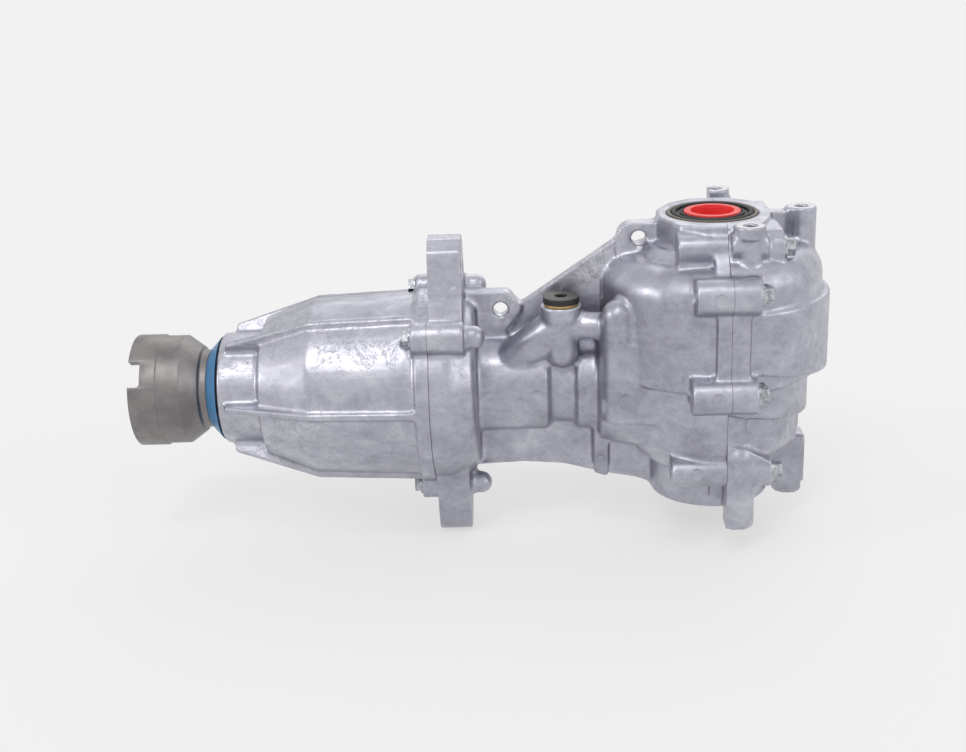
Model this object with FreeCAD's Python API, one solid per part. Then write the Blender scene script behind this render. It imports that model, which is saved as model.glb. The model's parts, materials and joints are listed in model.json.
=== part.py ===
import FreeCAD, Part
import math
import os

Vector = FreeCAD.Vector

# Rear differential with an electrically controlled input coupling, in millimetres.
# Everything is modelled about the point where the pinion axis (X) meets the axle axis (Z).
# X runs from the input flange towards the rear cover. The export lifts all of it by
# axis_height, so the origin is the centre of the lower axle mouth.

axis_height = 97.0
parts_folder = "parts"

# Clearances
running_gap = 0.05
seat_gap = 0.02
face_gap = 0.3
cut_margin = 5.0

# Bell housing round the coupling: stations along X and outer radii
bell_nose_x = -401.0
bell_mouth_x = -227.0
nose_radius = 46.0
nose_length = 33.0
shoulder_radius = 57.0
shoulder_length = 3.0
cone_length = 41.0
body_front_radius = 73.0
body_rear_radius = 77.0
bell_wall = 5.0
joint_flange_radius = 81.0
joint_flange_thickness = 11.0
rib_count = 6
rib_width = 5.0
rib_height = 4.0
nose_fin_radius = 54.3
nose_fin_start = 6.5

# Bolts that hold the bell to the casing

# Bell bolts, as (angle, circle radius, boss radius)
bell_bolt_places = (
    (-76.0, 84.8, 12.0),
    (44.0, 84.0, 13.0),
    (104.0, 80.0, 10.0),
    (164.0, 84.0, 12.0),
    (224.0, 84.0, 12.0),
)
bell_boss_tail_radius = 9.0
bell_boss_tail_reach = 36.0
bell_boss_reach = 28.0
bell_bolt_radius = 4.0
bell_bolt_depth = 22.0
bell_bolt_head_radius = 6.5
bell_bolt_head_height = 6.5
bell_bolt_flange_radius = 8.5
bell_bolt_flange_height = 1.8

# Mounting ears on the casing's front face
ear_thickness = 27.0
ear_hole_z = 99.0
ear_pocket_depth = 3.0
ear_pocket_corners = ((3.0, 88.0), (2.5, 97.0), (11.0, 97.0), (11.0, 92.0))
# Half of the ear's outline, as (distance from its middle, height, corner radius)
ear_outline = (
    (41.0, 52.0, 4.0),
    (28.0, 84.0, 8.0),
    (24.0, 100.5, 1.5),
    (19.0, 118.0, 2.5),
    (9.0, 126.0, 2.5),
)
ear_offset_y = -8.0
ear_hole_radius = 7.5

# Casing round the pinion
front_drum_radius = 79.0
front_drum_straight = 15.0
front_drum_end_radius = 70.0
front_drum_length = 36.0
front_drum_wall = 7.0
tube_radius = 40.5
tube_end_x = -135.0
waist_radius = 34.7
waist_end_x = -113.0
pinion_band_x = -93.0
pinion_house_front_radius = 50.0
pinion_house_rear_radius = 62.0
pinion_house_end_x = -40.0
house_front_x = -91.5
house_near_y = 57.5
house_bottom_z = -20.0
house_top_z = 46.0
tube_bore = 29.5

# Casing round the ring gear
seam_x = 5.5
drum_radius = 82.0
drum_bottom_z = 12.0
drum_top_z = 108.0
drum_shoulder = 24.0
drum_crown_radius = 54.0
drum_stretch = 5.5
drum_wall = 6.0
lower_body_radius = 73.0
lower_body_room = 56.0
lower_body_waist_z = 53.0 - axis_height
lower_body_bottom_z = 35.0 - axis_height
lower_mouth_radius = 49.0
neck_top_z = 138.0
neck_front_x = -36.0
# Pads beside the neck: height above and below the bolt, and reach outwards
neck_pad_main = (10.5, 18.5, 10.0)
neck_pad_cover = (14.5, 25.0, 5.0)
neck_outline = (
    (-30.0, -43.0, 5.0),
    (-43.5, -12.0, 9.0),
    (-43.5, 14.0, 9.0),
    (-31.0, 38.0, 8.0),
    (-14.0, 50.0, 8.0),
    (18.0, 50.0, 8.0),
    (36.0, 36.0, 8.0),
    (44.5, 16.0, 9.0),
    (44.5, -14.0, 9.0),
    (34.0, -40.0, 6.0),
    (14.0, -51.0, 5.0),
    (-12.0, -51.0, 6.0),
)

# Rear cover
bulge_shift = 11.0
bulge_radius = 83.0
bulge_bottom_z = 16.0
bulge_top_z = 77.0
bulge_slope_z = 36.0
step_radius = 79.0
step_bottom_z = -22.0
step_slope_z = -4.0
underside_slope = 14.0
dome_radius = 82.0
dome_top_z = 116.0
dome_shoulder = 27.0
foot_radius = 69.0
foot_bottom_z = -54.0
seam_flange_front = 10.7
seam_flange_rear = 14.0
seam_flange_y = 88.0

# Bolts that hold the cover, as (y, z, reach forward of the seam, reach behind it, boss radius)
cover_bolt_places = (
    (48.0, 120.0, 38.0, 43.0, 12.0),
    (83.0, 92.0, 27.5, 21.5, 14.3),
    (84.0, 12.6, 30.0, 20.5, 14.6),
    (66.0, -58.0, 43.5, 35.5, 12.0),
)
cover_bolt_radius = 4.0
cover_bolt_head_radius = 7.2
cover_bolt_head_height = 8.5
cover_bolt_flange_radius = 8.6
cover_bolt_flange_height = 2.0
spot_face_room = 0.8
spot_face_reach = 11.5
island_wall = 2.5
dowel_radius = 4.0
dowel_length = 14.0

# Threaded mounting bosses on both axle faces, as (x, y)
top_boss_places = ((21.0, -60.5), (70.0, -1.0), (11.0, 71.5))
top_boss_z = 141.0
top_boss_radius = 12.0
top_boss_cap = 9.0
bottom_boss_places = ((15.2, -66.0), (66.2, 2.0), (15.2, 68.0))
bottom_boss_z = -104.0
bottom_boss_radius = 13.5
bottom_boss_top_z = -46.0
rear_boss_radius = 12.5
foot_gusset_rise = 24.0
foot_gusset_end = 10.0
foot_gusset_inner = 40.0
rear_boss_top_z = -52.0
rear_boss_bottom_z = -94.0
boss_thread_radius = 5.1
boss_thread_depth = 20.0
cross_barrel_radius = 8.8
cross_barrel_z = 124.5
cross_barrel_half_length = 13.6
stem_radius = 9.5

# Web plates in the plane of both axes, with their bracket holes as (x, z)
web_thickness = 9.0
web_rib_front_x = -97.0
web_rib_rear_x = -85.0
bracket_thickness = 15.0
bracket_hole_radius = 6.0
front_bracket_hole = (-170.5, 63.5)
rear_bracket_hole = (-58.7, 119.7)

# Filler on the near side of the tube
filler_x = -121.8
filler_y = -30.0
filler_boss_top = 74.0
filler_boss_radius = 16.5
filler_stub_radius = 14.0
filler_stub_bottom = 22.0
filler_duct_radius = 15.8
filler_duct_start = (-166.0, -16.0, 20.0)
filler_duct_rise = (-121.8, -29.5, 58.0)
filler_thread_radius = 9.0
filler_washer_radius = 13.6
filler_washer_thickness = 1.8
filler_head_radius = 14.5
filler_head_height = 5.0
filler_socket_radius = 5.0
filler_plug_depth = 12.0
arch_x = -77.5
arch_y = -45.0
arch_radius = 13.5
arch_top_z = 67.0

# Input flange, dust shield, seal and nut
flange_rim_x = -473.6
flange_rim_radius = 46.3
flange_band_radius = 45.0
flange_band_x = -450.5
flange_taper_x = -432.5
flange_back_radius = 35.5
flange_back_x = -419.5
flange_neck_radius = 32.3
flange_hub_x = -412.5
flange_hub_radius = 21.0
pilot_radius = 36.5
pilot_depth = 17.0
cup_room_radius = 33.0
cup_floor_x = -440.0
notch_width = 22.0
notch_depth = 10.0
notch_corner = 3.0
notch_angle = 36.0
shield_rear_x = -403.0
shield_rear_radius = 43.0
shield_thickness = 1.6
input_seal_radius = 31.0
input_seal_length = 10.0
input_nut_width = 32.0
input_nut_height = 13.0

# Input shaft, its bearing and the coupling
input_shaft_radius = 17.5
input_spline_radius = 14.0
input_thread_radius = 11.0
input_bearing_radius = 36.0
input_bearing_width = 17.0
input_bearing_x = -387.0
input_ball_radius = 5.0
input_ball_count = 7
coupling_front_x = -336.0
coupling_radius = 59.0
coupling_wall = 5.0
coupling_front_wall = 9.0
spline_count = 8
spline_width = 8.0
spline_height = 2.5
clutch_hub_radius = 26.0
clutch_hub_inset = 3.0
clutch_plate_count = 8
clutch_plate_thickness = 2.0
clutch_plate_pitch = 4.8
outer_plate_bore = 31.0
inner_plate_radius = 51.0
main_cam_thickness = 9.0
control_cam_thickness = 7.0
cam_radius = 48.0
cam_ball_radius = 3.5
cam_ball_circle = 38.0
cam_ball_count = 6
cam_pocket_depth = 2.6
armature_thickness = 5.0
armature_bore = 33.0
pilot_plate_thickness = 1.6
rotor_web = 5.0
rotor_length = 16.0
rotor_hub_radius = 34.0
rotor_bore = 18.0
rotor_rim_bore = 50.5
coil_radius = 48.0
coil_bore = 38.0
coil_length = 12.0
coil_sleeve_radius = 42.0
coil_spigot_bore = 33.0

# Pinion shaft, bearings and gears
ring_teeth = 37
pinion_teeth = 15
gear_module = 3.8
gear_face = 24.0
gear_pressure_angle = 22.5
gear_backlash = 0.3
pinion_head_radius = 20.0
pinion_shaft_radius = 17.5
pinion_tail_radius = 15.0
pinion_thread_radius = 14.0
pinion_spline_radius = 12.0
head_bearing_x = -91.0
head_bearing_radius = 39.0
head_bearing_width = 17.0
tail_bearing_x = -188.0
tail_bearing_radius = 31.0
tail_bearing_width = 17.0
spacer_radius = 22.0
taper_roller_count = 12
seal_sleeve_length = 12.0
seal_sleeve_radius = 20.0
pinion_seal_radius = 32.0
pinion_seal_length = 8.0
pinion_nut_width = 36.0
pinion_nut_height = 12.0
ring_outer_radius = 72.5
ring_bore = 46.0
ring_back_z = 45.0
ring_bolt_circle = 59.0
ring_bolt_count = 8
ring_bolt_radius = 5.0
ring_bolt_head_width = 15.0
ring_bolt_head_height = 7.0
ring_bolt_depth = 11.0

# Differential case and its gears
case_centre_z = 16.0
case_body_radius = 42.0
case_cavity_radius = 35.5
case_flange_radius = 69.0
case_flange_thickness = 11.0
case_upper_radius = 50.0
case_upper_z = 74.0
case_window_width = 40.0
case_window_height = 44.0
trunnion_radius = 22.0
trunnion_bore = 16.6
side_bearing_radius = 36.0
side_bearing_width = 17.0
side_bearing_outer_z = 122.0
side_bearing_lower_z = 17.0 - axis_height
side_teeth = 16
spider_teeth = 10
side_module = 3.5
side_face = 13.0
side_pressure_angle = 25.0
side_backlash = 0.5
side_tip_share = 0.78
cross_pin_radius = 8.0
lock_pin_radius = 2.5
side_bore = 13.5
side_hub_radius = 19.0
thrust_washer_thickness = 1.2
shim_thickness = 2.0

# Axle seals and the transport plug
axle_seal_radius = 36.3
axle_seal_depth = 10.0
axle_seal_case_bore = 33.8
axle_lip_radius = 20.0
plug_flange_radius = 22.5
plug_flange_height = 1.4
plug_body_length = 12.0
plug_wall = 2.5
plug_floor = 2.5


def rounded_wire(corners, place):
    # A closed outline through corners (u, v) or (u, v, rounding radius).
    pieces = []
    count = len(corners)
    for index, corner in enumerate(corners):
        point = Vector(corner[0], corner[1], 0)
        radius = corner[2] if len(corner) > 2 else 0
        if radius <= 0:
            pieces.append((point, None, point))
            continue
        previous = corners[index - 1]
        following = corners[(index + 1) % count]
        back = (Vector(previous[0], previous[1], 0) - point).normalize()
        ahead = (Vector(following[0], following[1], 0) - point).normalize()
        half = back.getAngle(ahead) / 2
        reach = radius / math.tan(half)
        middle = point + (back + ahead).normalize() * (radius / math.sin(half) - radius)
        pieces.append((point + back * reach, middle, point + ahead * reach))
    edges = []
    for index, (start, middle, end) in enumerate(pieces):
        if middle is not None:
            edges.append(Part.Arc(place(start), place(middle), place(end)).toShape())
        upcoming = pieces[(index + 1) % count][0]
        if end.distanceToPoint(upcoming) > 1e-6:
            edges.append(Part.makeLine(place(end), place(upcoming)))
    return Part.Wire(edges)


def turned_about_x(corners):
    # Corners are (x, radius).
    face = Part.Face(rounded_wire(corners, lambda p: Vector(p.x, 0, p.y)))
    return upright(face.revolve(Vector(0, 0, 0), Vector(1, 0, 0), 360))


def turned_about_z(corners, centre_x=0.0):
    # Corners are (radius, z).
    face = Part.Face(rounded_wire(corners, lambda p: Vector(p.x, 0, p.y)))
    solid = upright(face.revolve(Vector(0, 0, 0), Vector(0, 0, 1), 360))
    solid.translate(Vector(centre_x, 0, 0))
    return solid


def upright(solid):
    return solid.reversed() if solid.Volume < 0 else solid


def slab_across_y(corners, low, high):
    # Corners are (x, z).
    face = Part.Face(rounded_wire(corners, lambda p: Vector(p.x, low, p.y)))
    return upright(face.extrude(Vector(0, high - low, 0)))


def slab_across_x(corners, low, high):
    # Corners are (y, z).
    face = Part.Face(rounded_wire(corners, lambda p: Vector(low, p.x, p.y)))
    return upright(face.extrude(Vector(high - low, 0, 0)))


def slab_across_z(corners, low, high):
    # Corners are (x, y).
    face = Part.Face(rounded_wire(corners, lambda p: Vector(p.x, p.y, low)))
    return upright(face.extrude(Vector(0, 0, high - low)))


def rod(start, end, radius):
    start, end = Vector(*start), Vector(*end)
    return Part.makeCylinder(radius, start.distanceToPoint(end), start, end - start)


def rod_x(low, high, radius, y=0.0, z=0.0):
    return rod((low, y, z), (high, y, z), radius)


def rod_z(low, high, radius, x=0.0, y=0.0):
    return rod((x, y, low), (x, y, high), radius)


def tube_x(low, high, outer, inner):
    return rod_x(low, high, outer).cut(rod_x(low - cut_margin, high + cut_margin, inner))


def tube_z(low, high, outer, inner):
    return rod_z(low, high, outer).cut(rod_z(low - cut_margin, high + cut_margin, inner))


def joined(shapes):
    body = shapes[0]
    for shape in shapes[1:]:
        body = body.fuse(shape)
    return body


def hollowed(body, hollows):
    for hollow in hollows:
        body = body.cut(hollow)
    return body


def group(shapes):
    return Part.makeCompound(list(shapes))


def hexagon_x(low, high, across_flats, y=0.0, z=0.0):
    radius = across_flats / math.sqrt(3)
    corners = []
    for step in range(6):
        angle = math.radians(60 * step)
        corners.append((y + radius * math.cos(angle), z + radius * math.sin(angle)))
    return slab_across_x(corners, low, high)


def bolt_along_x(head_x, direction, shank, head_height, head_radius, flange_radius,
                 flange_height, shank_radius, y, z):
    # The head stands on the side that direction points to, and its flange starts at head_x.
    seat = head_x + direction * flange_height
    top = head_x + direction * head_height
    tip = head_x - direction * shank
    head = hexagon_x(min(seat, top), max(seat, top), head_radius * math.sqrt(3), y, z)
    flange = rod_x(min(head_x, seat), max(head_x, seat), flange_radius, y, z)
    stem = rod_x(min(tip, seat), max(tip, seat), shank_radius, y, z)
    return joined([flange, head, stem])


def around_x(shape, angle):
    return shape.rotated(Vector(0, 0, 0), Vector(1, 0, 0), angle)


def around_z(shape, angle):
    return shape.rotated(Vector(0, 0, 0), Vector(0, 0, 1), angle)


def side_point(radius, angle):
    # Angle 0 faces the viewer (-Y) and 90 faces up.
    turn = math.radians(angle)
    return -radius * math.cos(turn), radius * math.sin(turn)


def half_space(front):
    size = 700.0
    low = seam_x - size if front else seam_x
    return Part.makeBox(size, size, size, Vector(low, -size / 2, -size / 2))


# Gears

def involute(angle):
    return math.tan(angle) - angle


def polyhedron(near, far):
    # A solid between two similar polygons with the same number of corners.
    count = len(near)
    faces = [Part.Face(Part.makePolygon(near + near[:1])), Part.Face(Part.makePolygon(far + far[:1]))]
    for index in range(count):
        other = (index + 1) % count
        ring = [near[index], near[other], far[other], far[index], near[index]]
        faces.append(Part.Face(Part.makePolygon(ring)))
    return upright(Part.Solid(Part.Shell(faces)))


def bevel_teeth_gap(teeth, mate_teeth, module, face, pressure_angle, backlash):
    # The gap between two teeth of a gear on +Z with its cone's point at the origin,
    # drawn on the back cone as an involute and shrunk towards that point.
    cone = math.atan2(teeth, mate_teeth)
    pitch_radius = module * teeth / 2
    distance = pitch_radius / math.sin(cone)
    virtual_radius = pitch_radius / math.cos(cone)
    pressure = math.radians(pressure_angle)
    base = virtual_radius * math.cos(pressure)
    root = virtual_radius - 1.22 * module
    tip = virtual_radius + 1.5 * module
    quarter = math.pi * pitch_radius / teeth / 2 / virtual_radius
    flank = []
    for step in range(6):
        radius = root + (tip - root) * step / 5
        slope = math.acos(base / max(radius, base))
        tooth = quarter + involute(pressure) - involute(slope) - backlash / 4 / virtual_radius
        flank.append((radius, 2 * quarter - tooth))
    outline = [(r, -a) for r, a in flank] + [(r, a) for r, a in reversed(flank)]
    outward = Vector(math.cos(cone), 0, -math.sin(cone))
    along = Vector(math.sin(cone), 0, math.cos(cone))
    corners = []
    for radius, angle in outline:
        height = radius * math.cos(angle) - virtual_radius
        corners.append(along * distance + outward * height + Vector(0, radius * math.sin(angle), 0))
    stretch = 1.12
    shrink = (distance - face) / distance * 0.9
    return polyhedron([c * stretch for c in corners], [c * shrink for c in corners])


def bevel_blank_corners(teeth, mate_teeth, module, face, tip_share=1.0):
    # Outer tip, inner tip, inner root and outer root of the tooth band as (radius, z).
    cone = math.atan2(teeth, mate_teeth)
    distance = module * teeth / 2 / math.sin(cone)
    share = (distance - face) / distance
    places = []
    for height in (tip_share * module, -1.35 * module):
        radius = distance * math.sin(cone) + height * math.cos(cone)
        z = distance * math.cos(cone) - height * math.sin(cone)
        places.append(((radius, z), (radius * share, z * share)))
    (tip_out, tip_in), (root_out, root_in) = places
    return tip_out, tip_in, root_in, root_out


def with_gaps(blank, gap, teeth, phase):
    # phase 0 puts a gap on the +X side, 0.5 puts a tooth there.
    cutters = [around_z(gap, 360.0 * (step + phase) / teeth) for step in range(teeth)]
    return blank.cut(group(cutters))


def bevel_gear(teeth, mate_teeth, module, face, pressure_angle, backlash, body, phase,
               tip_share=1.0):
    # body closes the blank's outline behind the teeth, from the outer tip to the inner tip.
    tip_out, tip_in, root_in, root_out = bevel_blank_corners(teeth, mate_teeth, module, face,
                                                             tip_share)
    blank = turned_about_z([tip_out] + body + [tip_in])
    gap = bevel_teeth_gap(teeth, mate_teeth, module, face, pressure_angle, backlash)
    return with_gaps(blank, gap, teeth, phase)


# Bearings

def taper_bearing(bore, outer, width, rollers):
    # Built on +Z from its small end at z = 0.
    slope = math.tan(math.radians(14.0))
    lean = math.cos(math.radians(14.0))
    roller_radius = 0.2 * (outer - bore)
    middle = (outer + bore) / 2
    inner_reach = (roller_radius + seat_gap) / lean
    outer_reach = (roller_radius + running_gap) / lean

    def track(z, reach):
        return middle + (z - width / 2) * slope + reach

    cone = turned_about_z([(bore, 0), (bore, width), (track(width, -inner_reach), width),
                           (track(0, -inner_reach), 0)])
    cup = turned_about_z([(outer, 0), (outer, width), (track(width, outer_reach), width),
                          (track(0, outer_reach), 0)])
    half = width * 0.31
    start = Vector(middle - half * slope, 0, width / 2 - half)
    end = Vector(middle + half * slope, 0, width / 2 + half)
    roller = Part.makeCylinder(roller_radius, start.distanceToPoint(end), start, end - start)
    ring = group([around_z(roller, 360.0 * step / rollers) for step in range(rollers)])
    return cone, ring, cup


def facing(shape, direction, place):
    # Turns a shape built on +Z to another axis direction and moves its origin to place.
    turned = shape.copy()
    turned.Placement = FreeCAD.Placement(place, FreeCAD.Rotation(Vector(0, 0, 1), direction))
    return turned


def ball_bearing(bore, outer, width, ball_radius, balls):
    # Built along X from x = 0.
    middle = (outer + bore) / 2
    groove = Part.makeTorus(middle, ball_radius + seat_gap, Vector(width / 2, 0, 0), Vector(1, 0, 0))
    outer_groove = Part.makeTorus(middle, ball_radius + running_gap, Vector(width / 2, 0, 0),
                                  Vector(1, 0, 0))
    land = 0.45 * ball_radius
    inner = tube_x(0, width, middle - land, bore).cut(groove)
    outer_ring = tube_x(0, width, outer, middle + land).cut(outer_groove)
    ball = Part.makeSphere(ball_radius, Vector(width / 2, 0, middle))
    return inner, group([around_x(ball, 360.0 * step / balls) for step in range(balls)]), outer_ring


# The bell housing

def bell_outline():
    nose_end = bell_nose_x + nose_length
    shoulder_end = nose_end + shoulder_length
    cone_end = shoulder_end + cone_length
    flange_x = bell_mouth_x - joint_flange_thickness
    return [
        (bell_nose_x, 0),
        (bell_nose_x, nose_radius, 2.0),
        (nose_end, nose_radius, 2.0),
        (shoulder_end, shoulder_radius, 3.0),
        (cone_end, body_front_radius, 12.0),
        (flange_x, body_rear_radius, 1.5),
        (flange_x, joint_flange_radius, 2.0),
        (bell_mouth_x, joint_flange_radius),
        (bell_mouth_x, 0),
    ]


def bell_cavity():
    nose_end = bell_nose_x + nose_length
    shoulder_end = nose_end + shoulder_length
    cone_end = shoulder_end + cone_length
    bearing_end = input_bearing_x + input_bearing_width
    return turned_about_x([
        (bell_nose_x - cut_margin, 0),
        (bell_nose_x - cut_margin, input_seal_radius),
        (input_bearing_x, input_seal_radius),
        (input_bearing_x, input_bearing_radius),
        (bearing_end + 1.0, input_bearing_radius),
        (bearing_end + 1.0, nose_radius - bell_wall - 1.0),
        (nose_end + bell_wall, nose_radius - bell_wall + 1.0),
        (shoulder_end + bell_wall, shoulder_radius - bell_wall, 4.0),
        (cone_end + bell_wall, body_front_radius - bell_wall, 8.0),
        (bell_mouth_x + cut_margin, body_rear_radius - bell_wall),
        (bell_mouth_x + cut_margin, 0),
    ])


def bell_rib():
    # One rib with its tall fin over the nose, on the side that faces the viewer (-Y).
    cone_end = bell_nose_x + nose_length + shoulder_length + cone_length
    flange_x = bell_mouth_x - joint_flange_thickness
    inside = nose_radius - 2.0
    corners = [
        (bell_nose_x + nose_fin_start, -inside),
        (bell_nose_x + nose_fin_start + 1.0, -nose_fin_radius, 2.0),
        (cone_end, -body_front_radius - rib_height, 6.0),
        (flange_x + 1.0, -body_rear_radius - rib_height + 0.5),
        (flange_x + 1.0, -inside),
    ]
    face = Part.Face(rounded_wire(corners, lambda p: Vector(p.x, p.y, -rib_width / 2)))
    return upright(face.extrude(Vector(0, 0, rib_width)))


def bell_bolt_centres():
    return [side_point(circle, angle) for angle, circle, boss in bell_bolt_places]


def bell_holes(low, high, radius):
    return [rod_x(low, high, radius, y, z) for y, z in bell_bolt_centres()]


def bell_bosses(low, high):
    bosses = []
    for angle, circle, boss in bell_bolt_places:
        y, z = side_point(circle, angle)
        bosses.append(rod_x(low, high, boss, y, z))
    return bosses


def bell_boss_tails():
    # The round ends of the tapped bosses, which reach past the ear flange.
    end = bell_mouth_x + bell_boss_tail_reach
    tails = []
    for y, z in bell_bolt_centres():
        tails.append(rod_x(bell_mouth_x + 2.0, end, bell_boss_tail_radius, y, z))
        tails.append(Part.makeSphere(bell_boss_tail_radius, Vector(end, y, z)))
    return tails


def coupling_housing():
    shell = turned_about_x(bell_outline())
    ribs = [around_x(bell_rib(), 360.0 * step / rib_count) for step in range(rib_count)]
    flange_x = bell_mouth_x - joint_flange_thickness
    bosses = bell_bosses(flange_x - 2.0, bell_mouth_x)
    body = joined([shell] + ribs + bosses).cut(bell_cavity())
    holes = bell_holes(flange_x - cut_margin, bell_mouth_x + cut_margin, bell_bolt_radius)
    seat_x = flange_x - 2.0
    seats = bell_holes(seat_x - bell_bolt_head_height - 3.0, seat_x, bell_bolt_flange_radius + 0.6)
    return hollowed(body, holes + seats)


def bell_bolts():
    head_x = bell_mouth_x - joint_flange_thickness - 2.0
    shank = joint_flange_thickness + 2.0 + bell_bolt_depth
    bolts = []
    for y, z in bell_bolt_centres():
        bolts.append(bolt_along_x(head_x, -1, shank, bell_bolt_head_height, bell_bolt_head_radius,
                                  bell_bolt_flange_radius, bell_bolt_flange_height,
                                  bell_bolt_radius, y, z))
    return group(bolts)


# The casing and its cover, modelled as one outside that the seam plane divides

def ear(sign):
    near = [(-ear_outline[0][0], 0)] + [(-y, z, radius) for y, z, radius in ear_outline_at(sign)]
    far = [(-corner[0],) + tuple(corner[1:]) for corner in reversed(near)]
    corners = [(ear_offset_y + corner[0],) + tuple(corner[1:]) for corner in near + far]
    arm = slab_across_x(corners, bell_mouth_x, bell_mouth_x + ear_thickness)
    return hollowed(arm, ear_pockets(sign))


def ear_outline_at(sign):
    return [(y, sign * z, radius) for y, z, radius in ear_outline]


def ear_pockets(sign):
    # Two shallow triangular reliefs in the side that faces the viewer.
    middle = bell_mouth_x + ear_thickness / 2
    floor = ear_offset_y - ear_outline[1][0] + ear_pocket_depth
    pockets = []
    for side in (-1, 1):
        corners = [(middle + side * x, sign * z, 1.0) for x, z in ear_pocket_corners]
        pockets.append(slab_across_y(corners, floor - 20.0, floor))
    return pockets


def ear_holes():
    low = bell_mouth_x - cut_margin
    high = bell_mouth_x + ear_thickness + cut_margin
    return [rod_x(low, high, ear_hole_radius, ear_offset_y, side * ear_hole_z) for side in (-1, 1)]


def pinion_barrel():
    drum_end = bell_mouth_x + front_drum_length
    return turned_about_x([
        (bell_mouth_x, 0),
        (bell_mouth_x, front_drum_radius),
        (bell_mouth_x + front_drum_straight, front_drum_radius, 18.0),
        (drum_end, front_drum_end_radius, 9.0),
        (drum_end, tube_radius, 3.0),
        (tube_end_x, tube_radius, 3.0),
        (tube_end_x + 5.0, waist_radius, 2.0),
        (waist_end_x, waist_radius, 2.0),
        (waist_end_x + 4.0, tube_radius, 3.0),
        (pinion_band_x, tube_radius, 1.0),
        (pinion_band_x, pinion_house_front_radius, 6.0),
        (pinion_house_end_x, pinion_house_rear_radius),
        (pinion_house_end_x, 0),
    ])


def drum():
    corners = [
        (0, drum_bottom_z),
        (drum_radius, drum_bottom_z, 4.0),
        (drum_radius, drum_top_z - 4.0, drum_shoulder),
        (drum_crown_radius, drum_top_z, 4.0),
        (drum_crown_radius - 6.0, drum_top_z + 8.0),
        (0, drum_top_z + 8.0),
    ]
    front = turned_about_z(corners, -drum_stretch).common(half_space(True))
    rear = turned_about_z(corners, drum_stretch).common(half_space(False))
    return joined([front, rear])


def house_block():
    # The flat-topped body that joins the pinion bearing's house to the drum.
    corners = [
        (house_front_x, -house_near_y, 16.0),
        (house_front_x, 0),
        (pinion_house_end_x, 0),
        (pinion_house_end_x, -house_near_y),
    ]
    return slab_across_z(corners, house_bottom_z, house_top_z)


def lower_body():
    return turned_about_z([
        (0, drum_bottom_z + 10.0),
        (lower_body_radius, drum_bottom_z + 10.0),
        (lower_body_radius, lower_body_waist_z, 14.0),
        (lower_mouth_radius + 9.0, lower_body_bottom_z, 6.0),
        (lower_mouth_radius, lower_body_bottom_z - 6.0, 3.0),
        (lower_mouth_radius, 0 - axis_height, 1.5),
        (0, 0 - axis_height),
    ])


def neck():
    return slab_across_z(list(neck_outline), drum_top_z - 14.0, neck_top_z)


def neck_pads(front):
    # The blocks beside the neck that carry its two bolts.
    y, z, ahead, behind, radius = cover_bolt_places[0]
    low = seam_x - ahead if front else seam_x
    high = seam_x if front else seam_x + behind
    rise, drop, reach = neck_pad_main if front else neck_pad_cover
    top = z + rise
    bottom = z - drop
    near = y + reach
    pads = []
    for side in (-1, 1):
        corners = [
            (side * near, bottom, 6.0),
            (side * near, top, 7.0),
            (side * 20.0, top),
            (side * 20.0, bottom),
        ]
        pads.append(slab_across_x(corners, low, high))
    return pads


def webs():
    half = web_thickness / 2
    tube_low = -waist_radius + 5.0
    upper = [
        (-190.0, 30.0),
        (-190.0, 66.0),
        (-157.0, 66.0),
        (-64.0, 128.0),
        (-30.0, 128.0),
        (-30.0, 30.0),
    ]
    lower = [
        (-200.0, tube_low),
        (-200.0, -74.0, 4.0),
        (-155.0, -72.0, 60.0),
        (-122.0, -74.5, 60.0),
        (-89.0, -83.5, 40.0),
        (-60.0, -89.0, 20.0),
        (-40.0, -axis_height),
        (-30.0, tube_low),
    ]
    bracket = bracket_thickness / 2
    hole_x, hole_z = front_bracket_hole
    front = [
        (bell_mouth_x + front_drum_length - 8.0, 30.0),
        (bell_mouth_x + front_drum_length - 8.0, hole_z + 15.3),
        (hole_x + 6.5, hole_z + 15.3, 6.0),
        (hole_x + 18.0, hole_z + 1.0, 6.0),
        (hole_x + 4.0, hole_z - 18.0),
        (hole_x + 4.0, 30.0),
    ]
    hole_x, hole_z = rear_bracket_hole
    rear = [
        (hole_x - 17.5, hole_z - 30.0),
        (hole_x - 17.5, hole_z + 12.5, 12.0),
        (neck_front_x + 4.0, hole_z + 12.5),
        (neck_front_x + 4.0, hole_z - 30.0),
    ]
    rib = [
        (web_rib_front_x, -34.0),
        (web_rib_front_x, -74.5, 3.0),
        (web_rib_rear_x, -78.5, 3.0),
        (web_rib_rear_x, -34.0),
    ]
    return [
        slab_across_y(upper, -half, half),
        slab_across_y(lower, -half, half),
        slab_across_y(front, -bracket, bracket),
        slab_across_y(rear, -bracket, bracket),
        slab_across_y(rib, -26.0, 20.0),
    ]


def filler():
    start, rise = filler_duct_start, filler_duct_rise
    stub_end = filler_stub_bottom + filler_stub_radius
    return [
        rod(start, rise, filler_duct_radius),
        Part.makeSphere(filler_duct_radius, Vector(*rise)),
        rod_z(stub_end, filler_boss_top, filler_stub_radius, filler_x, filler_y),
        Part.makeSphere(filler_stub_radius, Vector(filler_x, filler_y, stub_end)),
        rod_z(filler_boss_top - 12.0, filler_boss_top, filler_boss_radius, filler_x, filler_y),
        rod((filler_x, filler_y, 57.0), (arch_x, arch_y + 8.0, 56.0), filler_stub_radius - 3.0),
        rod_z(0, arch_top_z, arch_radius, arch_x, arch_y),
        Part.makeSphere(arch_radius, Vector(arch_x, arch_y, arch_top_z)),
    ]


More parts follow.
